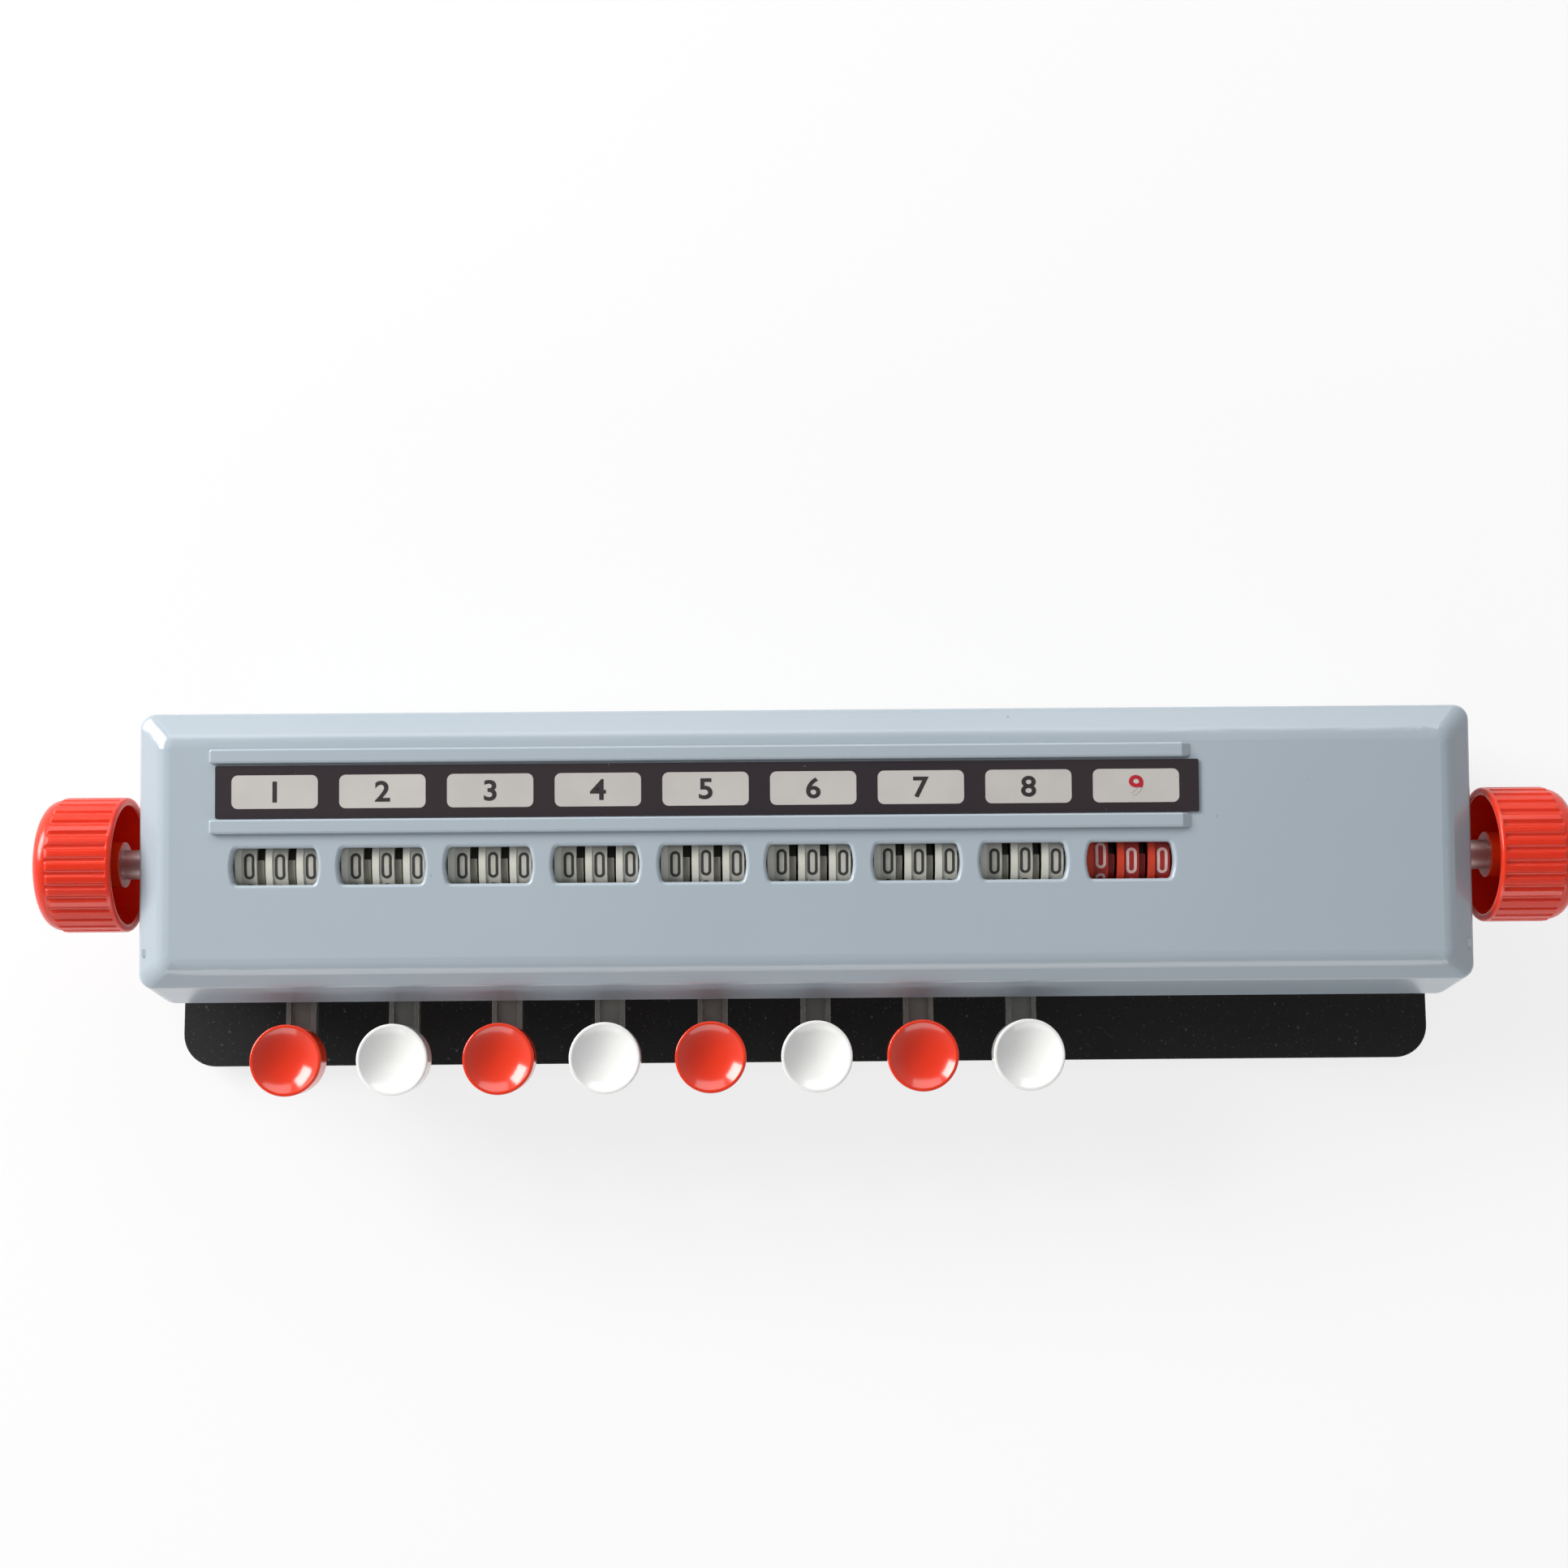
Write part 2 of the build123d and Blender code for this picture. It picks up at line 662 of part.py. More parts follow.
# Key pivot rod
with BuildPart() as key_pivot_rod:
    with BuildSketch(Plane.YZ.offset(rod_left_x)):
        with Locations((pivot_y, pivot_z)):
            Circle(pivot_diameter / 2)
    extrude(amount=rod_right_x - rod_left_x)
keep(key_pivot_rod.part, "key_pivot_rod")

# Key frame: a folded sheet on the base plate, with the guide comb along its front, a shelf for the
# felt, the ears of the pivot rod and the stud of the bell hammer
frame_half = end_x - post_inset_x - post_diameter / 2 - frame_plate
frame_rear_y = pivot_y + ear_length / 2
slot_top = plate_top + lever_top_height + comb_clearance
felt_top = drop_when_pressed(comb_y - felt_width, lever_z - lever_height / 2) - felt_gap
shelf_top = felt_top - felt_thickness
ear_xs = [
    rod_left_x + frame_plate / 2,
    (key_xs[0] + key_xs[-1]) / 2,
    rod_right_x - frame_plate / 2,
]
bell_diameter = bell_share * housing_depth
bell_x = end_x - bell_bay_place * bell_bay
bell_y = comb_y + bell_gap + bell_diameter / 2
hammer_x = rod_right_x + hammer_offset
hammer_y = bell_y + bell_diameter / 2 + hammer_gap + hammer_head_diameter / 2
with BuildPart() as key_frame:
    with BuildSketch(Plane.XY.offset(plate_top)):
        with Locations((0, comb_y)):
            Rectangle(2 * frame_half, frame_rear_y - comb_y, align=(Align.CENTER, Align.MIN))
    extrude(amount=frame_plate)
    with BuildSketch(Plane.XZ.offset(-comb_y)):
        with Locations((0, plate_top)):
            Rectangle(2 * frame_half, comb_height, align=(Align.CENTER, Align.MIN))
        with Locations(*[(x, plate_top + comb_slot_floor) for x in key_xs]):
            Rectangle(
                lever_width + 2 * comb_clearance,
                slot_top - plate_top - comb_slot_floor,
                align=(Align.CENTER, Align.MIN),
                mode=Mode.SUBTRACT,
            )
    extrude(amount=-frame_plate)
    with BuildSketch(Plane.XY.offset(shelf_top - frame_plate)):
        with Locations((key_xs[0] - counter_pitch / 2, comb_y)):
            Rectangle(key_count * counter_pitch, felt_width, align=(Align.MIN, Align.MAX))
    extrude(amount=frame_plate)
    for ear_x in ear_xs:
        with BuildSketch(Plane.YZ.offset(ear_x - frame_plate / 2)):
            with Locations((pivot_y, plate_top)):
                Rectangle(ear_length, ear_height, align=(Align.CENTER, Align.MIN))
            fillet(vertices().group_by(Axis.Y)[-1], ear_round)
            with Locations((pivot_y, pivot_z)):
                Circle(pivot_diameter / 2, mode=Mode.SUBTRACT)
        extrude(amount=frame_plate)
    with Locations((hammer_x, hammer_y, plate_top)):
        Cylinder(stud_diameter / 2, stud_height, align=(Align.CENTER, Align.CENTER, Align.MIN))
    with Locations(*[(x, y, frame_top) for x, y in frame_screw_points]):
        Hole(screw_diameter / 2 + screw_clearance, depth=frame_plate)
keep(key_frame.part, "key_frame")

# Felt under the levers, where the keys stop
with BuildPart() as key_stop_felt:
    with BuildSketch(Plane.XY.offset(shelf_top)):
        with Locations((key_xs[0] - counter_pitch / 2, comb_y)):
            Rectangle(key_count * counter_pitch, felt_width, align=(Align.MIN, Align.MAX))
    extrude(amount=felt_thickness)
keep(key_stop_felt.part, "key_stop_felt")

# Return springs: one coil under each lever, on the key frame
spring_y = front_y + spring_place
spring_rear = spring_y + spring_diameter / 2
spring_top = lever_centre_z(spring_rear) - lever_height / 2 / cos(atan2(lever_slope, 1)) - slip_clearance
spring_length = spring_top - frame_top - spring_wire
spring_radius = (spring_diameter - spring_wire) / 2
with BuildPart() as spring:
    with BuildLine():
        coil = Helix(spring_length / spring_turns, spring_length, spring_radius)
    with BuildSketch(Plane(origin=coil @ 0, z_dir=coil % 0)):
        Circle(spring_wire / 2)
    sweep(path=coil, is_frenet=True)
with BuildPart() as return_springs:
    with Locations(*[(x, spring_y, frame_top + spring_wire / 2) for x in key_xs]):
        add(spring.part)
keep(return_springs.part, "return_springs")

# Total bail: a bar under all the levers, at the foot of the keys' travel, hung on the pivot rod, with
# a pawl for the total counter
bail_y = front_y + bail_place
bail_underside = lever_centre_z(bail_y) - lever_height / 2 / cos(atan2(lever_slope, 1))
bail_rear_z = drop_when_pressed(bail_y + bail_bar / 2, bail_underside - bail_bar / 2 * lever_slope)
bail_top = bail_rear_z - bail_clearance
total_arm_x = counter_xs[-1] + key_shift + lever_width / 2 - lever_lip / 2
left_arm_x = counter_xs[0] + frame_left - bail_arm_gap - bail_arm
with BuildPart() as total_bail:
    with Locations((left_arm_x - bail_arm / 2, bail_y, bail_top)):
        Box(
            total_arm_x - left_arm_x + bail_arm,
            bail_bar,
            bail_bar,
            align=(Align.MIN, Align.CENTER, Align.MAX),
        )
    for arm_x in (left_arm_x, total_arm_x):
        with BuildSketch(Plane.YZ.offset(arm_x - bail_arm / 2)):
            with Locations((bail_y, bail_top)):
                Rectangle(pivot_y - bail_y, bail_bar, align=(Align.MIN, Align.MAX))
            with Locations((pivot_y, pivot_z)):
                Circle(eye_diameter / 2)
            with Locations((pivot_y, pivot_z)):
                Circle(pivot_diameter / 2 + running_clearance, mode=Mode.SUBTRACT)
        extrude(amount=bail_arm)
    with Locations((total_arm_x, pawl_y, bail_top)):
        Box(
            bail_arm,
            total_pawl_thickness,
            pawl_tip_z - bail_top,
            align=(Align.CENTER, Align.CENTER, Align.MIN),
        )
keep(total_bail.part, "total_bail")

# Bell: a shallow gong on a post, with a nut on top
rim_z = plate_top + bell_rim_height
dome_top_z = rim_z + bell_height
with BuildPart() as bell:
    with BuildSketch(Plane.XZ):
        with BuildLine():
            outer = EllipticalCenterArc(
                (0, rim_z),
                bell_diameter / 2,
                bell_height,
                start_angle=0,
                arc_size=quarter_turn,
            )
            inner = EllipticalCenterArc(
                (0, rim_z),
                bell_diameter / 2 - bell_sheet,
                bell_height - bell_sheet,
                start_angle=0,
                arc_size=quarter_turn,
            )
            Line(outer @ 0, inner @ 0)
            Line(outer @ 1, inner @ 1)
        make_face()
    revolve(axis=Axis.Z)
    with BuildSketch(Plane.XY.offset(frame_top)):
        Circle(bell_post_diameter / 2)
    extrude(amount=dome_top_z - frame_top)
    with BuildSketch(Plane.XY.offset(dome_top_z - bell_nut_sink)):
        RegularPolygon(bell_nut_diameter / 2, bell_nut_sides)
    extrude(amount=bell_nut_height)
keep(bell.part.moved(Location((bell_x, bell_y, 0))), "bell")

# Bell hammer: a flat arm on the stud, with a round head behind the rim of the bell
hammer_z = rim_z + hammer_arm_thickness / 2
with BuildPart() as bell_hammer:
    with Locations((hammer_x, hammer_y, hammer_z)):
        Cylinder(stud_diameter / 2 + hammer_arm_thickness, hammer_arm_thickness)
    with Locations((hammer_x, hammer_y, hammer_z)):
        Box(
            bell_x - hammer_x,
            hammer_arm_width,
            hammer_arm_thickness,
            align=(Align.MIN, Align.CENTER, Align.CENTER),
        )
    with Locations((bell_x, hammer_y, hammer_z)):
        Sphere(hammer_head_diameter / 2)
    with Locations((hammer_x, hammer_y, hammer_z)):
        Cylinder(stud_diameter / 2 + running_clearance, 2 * hammer_head_diameter, mode=Mode.SUBTRACT)
keep(bell_hammer.part, "bell_hammer")
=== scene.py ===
import json
import math
import random

import bmesh
import bpy
from mathutils import Euler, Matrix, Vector


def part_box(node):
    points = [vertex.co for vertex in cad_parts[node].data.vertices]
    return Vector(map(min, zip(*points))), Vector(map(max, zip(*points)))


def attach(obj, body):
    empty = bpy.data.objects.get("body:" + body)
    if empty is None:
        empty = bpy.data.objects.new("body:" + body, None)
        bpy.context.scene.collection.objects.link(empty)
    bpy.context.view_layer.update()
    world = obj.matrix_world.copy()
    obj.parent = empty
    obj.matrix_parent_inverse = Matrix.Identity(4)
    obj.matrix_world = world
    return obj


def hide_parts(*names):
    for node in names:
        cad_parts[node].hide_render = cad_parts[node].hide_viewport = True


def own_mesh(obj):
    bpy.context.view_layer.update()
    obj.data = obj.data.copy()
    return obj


# Mechanical differential cell counter: finishes, figures on the wheels, number plates and springs round
# the fixed frame. All lengths are in metres.

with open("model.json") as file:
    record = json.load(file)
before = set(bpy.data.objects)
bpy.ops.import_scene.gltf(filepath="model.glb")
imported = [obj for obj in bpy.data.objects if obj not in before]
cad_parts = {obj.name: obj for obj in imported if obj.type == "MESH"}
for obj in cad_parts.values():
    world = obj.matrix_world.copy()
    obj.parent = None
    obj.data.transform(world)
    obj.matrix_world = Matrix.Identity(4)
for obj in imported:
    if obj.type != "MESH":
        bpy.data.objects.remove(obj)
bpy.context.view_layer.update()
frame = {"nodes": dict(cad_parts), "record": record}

MM = 0.001

# Places taken from the frame
joint_places = {joint["name"]: Vector(joint["pos_m"]) for joint in frame["record"]["behaviour"]["joints"]}
SHAFT = joint_places["reset_turn"]
COUNTERS = 9
KEYS = 8
PANEL_SLOPE = math.radians(4.0)
PANEL_TURN = Euler((PANEL_SLOPE, 0.0, 0.0)).to_matrix()
PANEL_NORMAL = PANEL_TURN @ Vector((0.0, 0.0, 1.0))

# Figures on the wheels
BAND_RADIUS = 10.25 * MM
BAND_WIDTH = 3.1 * MM
FLANGE_WIDTH = 1.4 * MM
FIGURE_HEIGHT = 4.82 * MM         # between the middles of the strokes
FIGURE_WIDTH = 1.58 * MM
FIGURE_STROKE = 0.58 * MM
FIGURE_PROUD = 0.02 * MM
FIGURE_SUNK = 0.1 * MM
FIGURE_LEAN = math.radians(-7.9)  # of the figure in the window, from upright to the front
FIGURE_STEP = math.radians(36.0)
FIGURE_MESH_STEP = 0.3 * MM
BACKLASH = 0.16 * MM              # how far a wheel may rest off its mark
BETWEEN_FIGURES = 1.0 * MM        # how far the last hundreds wheel rests off its mark

# Radii on a wheel between which one colour turns to the next; painted shade on hub and notch, painted light
# on flange
SHADE_DEPTH_EDGE = (8.5 * MM, 9.3 * MM)
BAND_EDGE = (9.7 * MM, 9.9 * MM)
LIT_FLANGE_EDGE = (10.3 * MM, 10.4 * MM)

# Number plates printed on the label strip
PLATE_SIZE = (17.75 * MM, 6.9 * MM)
PLATE_CORNER = 1.3 * MM
PLATE_CORNER_STEPS = 8
PLATE_CHAMFER = 0.0015            # share of the plate's size
PLATE_FIRST_X = -109.15 * MM
PLATE_PITCH = 22.14 * MM
PLATE_THICKNESS = 0.05 * MM
PLATE_FIGURE_HEIGHT = 4.3 * MM
PLATE_FIGURE_THICKNESS = 0.04 * MM
PLATE_FIGURE_WIDENING = 1.12
PLATE_FIGURE_WEIGHT = 0.02        # added round the strokes, as a share of the text size

# Return springs
SPRING_WIRE = 0.6 * MM
SPRING_TURNS = 5.0
SPRING_END = 0.1                  # share of the wire that lies flat at each end


def wire(tree, *links):
    """Joins sockets: each link is (node, output, node, input)."""
    for source, output, target, entry in links:
        tree.links.new(source.outputs[output], target.inputs[entry])


def node(tree, kind, inputs=None, **settings):
    """Adds a shader node with its settings and the values of its sockets."""
    made = tree.nodes.new("ShaderNode" + kind)
    for key, value in settings.items():
        setattr(made, key, value)
    for key, value in (inputs or {}).items():
        made.inputs[key].default_value = value
    return made


def new_group(name, entries, exits):
    """An empty shader node group. Entries and exits are (name, socket type, value)."""
    tree = bpy.data.node_groups.new(name, "ShaderNodeTree")
    for title, kind, value in entries:
        socket = tree.interface.new_socket(title, in_out="INPUT", socket_type=kind)
        socket.default_value = value
    for title, kind in exits:
        tree.interface.new_socket(title, in_out="OUTPUT", socket_type=kind)
    return tree, tree.nodes.new("NodeGroupInput"), tree.nodes.new("NodeGroupOutput")


def ramp(tree, stops, interpolation="LINEAR"):
    """A colour ramp used as a curve from one value to another."""
    made = node(tree, "ValToRGB")
    made.color_ramp.interpolation = interpolation
    while len(made.color_ramp.elements) < len(stops):
        made.color_ramp.elements.new(0.5)
    for element, (position, value) in zip(made.color_ramp.elements, stops):
        element.position = position
        element.color = (value, value, value, 1.0) if isinstance(value, float) else (*value, 1.0)
    return made


def build_tone_drift():
    """Slow drift between two close colours, as in moulded or painted surfaces."""
    tree, entry, out = new_group(
        "tone_drift",
        [
            ("Colour", "NodeSocketColor", (0.5, 0.5, 0.5, 1.0)),
            ("Second Colour", "NodeSocketColor", (0.45, 0.45, 0.45, 1.0)),
            ("Scale", "NodeSocketFloat", 20.0),
        ],
        [("Colour", "NodeSocketColor"), ("Mask", "NodeSocketFloat")],
    )
    place = node(tree, "TexCoord")
    noise = node(tree, "TexNoise", {"Detail": 4.0, "Roughness": 0.55})
    spread = ramp(tree, [(0.35, 0.0), (0.65, 1.0)])
    mix = node(tree, "Mix", data_type="RGBA")
    wire(
        tree,
        (place, "Object", noise, "Vector"),
        (entry, "Scale", noise, "Scale"),
        (noise, "Fac", spread, "Fac"),
        (spread, "Color", mix, 0),
        (entry, "Colour", mix, 6),
        (entry, "Second Colour", mix, 7),
        (mix, 2, out, "Colour"),
        (spread, "Color", out, "Mask"),
    )
    return tree


def build_fine_skin(name, rounding=0.0):
    """Waviness and grain of a moulded or painted skin, as a normal and a mask. Rounding softens edges."""
    tree, entry, out = new_group(
        name,
        [
            ("Wave Scale", "NodeSocketFloat", 300.0),
            ("Grain Scale", "NodeSocketFloat", 3000.0),
            ("Wave", "NodeSocketFloat", 0.3),
            ("Grain", "NodeSocketFloat", 0.2),
            ("Distance", "NodeSocketFloat", 0.00005),
        ],
        [("Normal", "NodeSocketVector"), ("Mask", "NodeSocketFloat")],
    )
    place = node(tree, "TexCoord")
    wave = node(tree, "TexNoise", {"Detail": 2.0})
    grain = node(tree, "TexNoise", {"Detail": 3.0})
    wave_part = node(tree, "Math", operation="MULTIPLY")
    both = node(tree, "Math", operation="MULTIPLY_ADD")
    bump = node(tree, "Bump", {"Strength": 1.0})
    wire(
        tree,
        (place, "Object", wave, "Vector"),
        (place, "Object", grain, "Vector"),
        (entry, "Wave Scale", wave, "Scale"),
        (entry, "Grain Scale", grain, "Scale"),
        (wave, "Fac", wave_part, 0),
        (entry, "Wave", wave_part, 1),
        (grain, "Fac", both, 0),
        (entry, "Grain", both, 1),
        (wave_part, "Value", both, 2),
        (both, "Value", bump, "Height"),
        (entry, "Distance", bump, "Distance"),
        (bump, "Normal", out, "Normal"),
        (grain, "Fac", out, "Mask"),
    )
    if rounding:
        soft = node(tree, "Bevel", {"Radius": rounding}, samples=6)
        wire(tree, (soft, "Normal", bump, "Normal"))
    return tree


def build_specks():
    """Small scattered specks of dust or lint."""
    tree, entry, out = new_group(
        "specks",
        [
            ("Scale", "NodeSocketFloat", 500.0),
            ("Size", "NodeSocketFloat", 0.12),
            ("Share", "NodeSocketFloat", 0.3),
        ],
        [("Mask", "NodeSocketFloat")],
    )
    place = node(tree, "TexCoord")
    ragged = node(tree, "TexNoise", {"Scale": 2200.0, "Detail": 2.0})
    pulled = node(tree, "VectorMath", operation="MULTIPLY_ADD")
    pulled.inputs[1].default_value = (0.0006, 0.0006, 0.0006)
    cells = node(tree, "TexVoronoi", {"Randomness": 1.0})
    near = node(tree, "MapRange", {"From Min": 0.0, "To Min": 1.6, "To Max": 0.0})
    chosen = node(tree, "SeparateColor")
    kept = node(tree, "Math", operation="LESS_THAN")
    both = node(tree, "Math", operation="MULTIPLY")
    faint = node(tree, "Math", operation="MULTIPLY", use_clamp=True)
    wire(
        tree,
        (place, "Object", ragged, "Vector"),
        (ragged, "Color", pulled, 0),
        (place, "Object", pulled, 2),
        (pulled, "Vector", cells, "Vector"),
        (entry, "Scale", cells, "Scale"),
        (cells, "Distance", near, "Value"),
        (entry, "Size", near, "From Max"),
        (cells, "Color", chosen, "Color"),
        (chosen, "Red", kept, 0),
        (entry, "Share", kept, 1),
        (near, "Result", both, 0),
        (kept, "Value", both, 1),
        (both, "Value", faint, 0),
        (chosen, "Green", faint, 1),
        (faint, "Value", out, "Mask"),
    )
    return tree


def build_edge_rub():
    """Worn edges: where the rounded normal departs from the true one."""
    tree, entry, out = new_group(
        "edge_rub",
        [("Radius", "NodeSocketFloat", 0.0004), ("Break Up", "NodeSocketFloat", 900.0)],
        [("Mask", "NodeSocketFloat")],
    )
    rounded = node(tree, "Bevel", samples=4)
    shape = node(tree, "NewGeometry")
    alike = node(tree, "VectorMath", operation="DOT_PRODUCT")
    sharp = ramp(tree, [(0.90, 1.0), (0.985, 0.0)])
    place = node(tree, "TexCoord")
    broken = node(tree, "TexNoise", {"Detail": 4.0, "Roughness": 0.7})
    patchy = ramp(tree, [(0.42, 0.0), (0.62, 1.0)])
    both = node(tree, "Math", operation="MULTIPLY")
    wire(
        tree,
        (entry, "Radius", rounded, "Radius"),
        (rounded, "Normal", alike, 0),
        (shape, "Normal", alike, 1),
        (alike, "Value", sharp, "Fac"),
        (place, "Object", broken, "Vector"),
        (entry, "Break Up", broken, "Scale"),
        (broken, "Fac", patchy, "Fac"),
        (sharp, "Color", both, 0),
        (patchy, "Color", both, 1),
        (both, "Value", out, "Mask"),
    )
    return tree


def build_drawn_grain():
    """Fine lines along one direction, as drawn or brushed metal has."""
    tree, entry, out = new_group(
        "drawn_grain",
        [("Stretch", "NodeSocketVector", (30.0, 2500.0, 2500.0)), ("Distance", "NodeSocketFloat", 0.00002)],
        [("Normal", "NodeSocketVector"), ("Mask", "NodeSocketFloat")],
    )
    place = node(tree, "TexCoord")
    stretched = node(tree, "VectorMath", operation="MULTIPLY")
    lines = node(tree, "TexNoise", {"Scale": 1.0, "Detail": 4.0, "Roughness": 0.6})
    bump = node(tree, "Bump", {"Strength": 0.6})
    wire(
        tree,
        (place, "Object", stretched, 0),
        (entry, "Stretch", stretched, 1),
        (stretched, "Vector", lines, "Vector"),
        (lines, "Fac", bump, "Height"),
        (entry, "Distance", bump, "Distance"),
        (bump, "Normal", out, "Normal"),
        (lines, "Fac", out, "Mask"),
    )
    return tree


tone_drift = build_tone_drift()
fine_skin = build_fine_skin("fine_skin")
rounded_skin = build_fine_skin("rounded_skin", rounding=0.35 * MM)
specks = build_specks()
edge_rub = build_edge_rub()
drawn_grain = build_drawn_grain()


def placed(tree, group, **values):
    """A shader node group set into a material, with its own values."""
    made = tree.nodes.new("ShaderNodeGroup")
    made.node_tree = group
    for key, value in values.items():
        made.inputs[key.replace("_", " ")].default_value = value
    return made


def new_finish(name, **shader_values):
    """A material with its shader's plain values set, ready for its textures."""
    made = bpy.data.materials.new(name)
    made.use_nodes = True
    tree = made.node_tree
    shader = tree.nodes["Principled BSDF"]
    for key, value in shader_values.items():
        shader.inputs[key.replace("_", " ")].default_value = value
    return made, tree, shader


def colour(*levels):
    """A colour given by its 0 to 255 screen levels, as the shader wants it."""
    return tuple(((v / 255 + 0.055) / 1.055) ** 2.4 if v > 10 else v / 255 / 12.92 for v in levels) + (1.0,)


def roughness_from(tree, source, output, low, high, shader):
    """Lets a mask drive the roughness between two values."""
    span = node(tree, "MapRange", {"To Min": low, "To Max": high})
    wire(tree, (source, output, span, "Value"), (span, "Result", shader, "Roughness"))


def moulded(
    name,
    first,
    second,
    rough=(0.2, 0.3),
    drift=18.0,
    skin=None,
    skin_group=fine_skin,
    dust=None,
    **shader_values,
):
    """Moulded plastic: slow drift of tone, a faintly wavy skin, and dust where it shows."""
    made, tree, shader = new_finish(name, **shader_values)
    tone = placed(tree, tone_drift, Colour=first, Second_Colour=second, Scale=drift)
    surface = placed(tree, skin_group, **(skin or {}))
    wire(tree, (surface, "Normal", shader, "Normal"))
    roughness_from(tree, surface, "Mask", rough[0], rough[1], shader)
    if dust:
        spot = placed(tree, specks, **{key: value for key, value in dust.items() if key != "tint"})
        over = node(tree, "Mix", data_type="RGBA")
        over.inputs[7].default_value = dust["tint"]
        wire(tree, (spot, "Mask", over, 0), (tone, "Colour", over, 6), (over, 2, shader, "Base Color"))
    else:
        wire(tree, (tone, "Colour", shader, "Base Color"))
    return made


def worn_metal(
    name, first, second, rough=(0.25, 0.45), stretch=(30.0, 2500.0, 2500.0), rub=None, metallic=1.0
):
    """Sheet, wire or bar: drawn grain, drift of tone, and edges rubbed bright."""
    made, tree, shader = new_finish(name, Metallic=metallic)
    tone = placed(tree, tone_drift, Colour=first, Second_Colour=second, Scale=90.0)
    grain = placed(tree, drawn_grain, Stretch=stretch)
    wire(tree, (grain, "Normal", shader, "Normal"))
    roughness_from(tree, grain, "Mask", rough[0], rough[1], shader)
    if rub:
        edge = placed(tree, edge_rub)
        over = node(tree, "Mix", data_type="RGBA")
        over.inputs[7].default_value = rub
        wire(tree, (edge, "Mask", over, 0), (tone, "Colour", over, 6), (over, 2, shader, "Base Color"))
    else:
        wire(tree, (tone, "Colour", shader, "Base Color"))
    return made


HOUSING_SKIN = {
    "Wave_Scale": 90.0,
    "Grain_Scale": 2600.0,
    "Wave": 0.25,
    "Grain": 0.015,
    "Distance": 0.00003,
}
PLASTIC_SKIN = {
    "Wave_Scale": 260.0,
    "Grain_Scale": 2600.0,
    "Wave": 0.3,
    "Grain": 0.03,
    "Distance": 0.00003,
}
RUBBER_SKIN = {
    "Wave_Scale": 500.0,
    "Grain_Scale": 4000.0,
    "Wave": 0.4,
    "Grain": 0.5,
    "Distance": 0.00006,
}

housing_blue = moulded(
    "housing_blue",
    colour(172, 183, 192),
    colour(167, 179, 188),
    rough=(0.16, 0.22),
    drift=9.0,
    skin=HOUSING_SKIN,
    dust={"Scale": 260.0, "Size": 0.09, "Share": 0.10, "tint": colour(125, 132, 136)},
    Specular_IOR_Level=0.5,
    Coat_Weight=0.15,
    Coat_Roughness=0.08,
)
strip_brown = moulded(
    "strip_brown",
    colour(46, 38, 42),
    colour(40, 33, 38),
    rough=(0.3, 0.42),
    skin=PLASTIC_SKIN,
    dust={"Scale": 420.0, "Size": 0.1, "Share": 0.12, "tint": colour(150, 140, 140)},
)
plate_grey = moulded(
    "plate_grey",
    colour(196, 192, 187),
    colour(188, 184, 180),
    rough=(0.4, 0.5),
    drift=60.0,
    skin=PLASTIC_SKIN,
    dust={"Scale": 600.0, "Size": 0.08, "Share": 0.05, "tint": colour(90, 86, 84)},
)
knob_red = moulded(
    "knob_red",
    colour(228, 54, 20),
    colour(220, 46, 16),
    rough=(0.2, 0.28),
    drift=40.0,
    skin=PLASTIC_SKIN,
    skin_group=rounded_skin,
    Subsurface_Weight=0.6,
    Subsurface_Radius=(1.0, 0.08, 0.03),
    Subsurface_Scale=0.003,
)
button_red, button_white = (
    moulded(
        name,
        first,
        second,
        rough=(0.14, 0.2),
        drift=60.0,
        skin=PLASTIC_SKIN,
        Coat_Weight=0.2,
        Coat_Roughness=0.06,
    )
    for name, first, second in (
        ("button_red", colour(226, 54, 22), colour(218, 48, 18)),
        ("button_white", colour(240, 240, 238), colour(234, 234, 231)),
    )
)
foot_rubber = moulded(
    "foot_rubber",
    colour(38, 38, 39),
    colour(30, 30, 31),
    rough=(0.65, 0.8),
    drift=120.0,
    skin=RUBBER_SKIN,
    dust={"Scale": 700.0, "Size": 0.12, "Share": 0.2, "tint": colour(110, 108, 104)},
)
zinc_sheet = worn_metal(
    "zinc_sheet", colour(176, 176, 174), colour(158, 159, 158), rough=(0.32, 0.5)
)
screw_zinc = worn_metal(
    "screw_zinc", colour(165, 164, 160), colour(140, 139, 136), rough=(0.28, 0.45)
)
shaft_steel = worn_metal(
    "shaft_steel", colour(190, 184, 182), colour(174, 168, 166), rough=(0.34, 0.5)
)
bush_brass = worn_metal(
    "bush_brass", colour(200, 166, 98), colour(178, 144, 80), rough=(0.25, 0.4)
)
spring_wire = worn_metal(
    "spring_wire",
    colour(170, 170, 170),
    colour(146, 146, 148),
    rough=(0.22, 0.36),
    stretch=(900.0, 900.0, 900.0),
)
lever_steel = worn_metal(
    "lever_steel",
    colour(150, 150, 146),
    colour(128, 128, 124),
    rough=(0.34, 0.52),
    stretch=(2500.0, 60.0, 2500.0),
    rub=colour(196, 196, 192),
    metallic=0.85,
)
bell_plate = worn_metal(
    "bell_plate", colour(205, 203, 198), colour(190, 188, 182), rough=(0.1, 0.2)
)


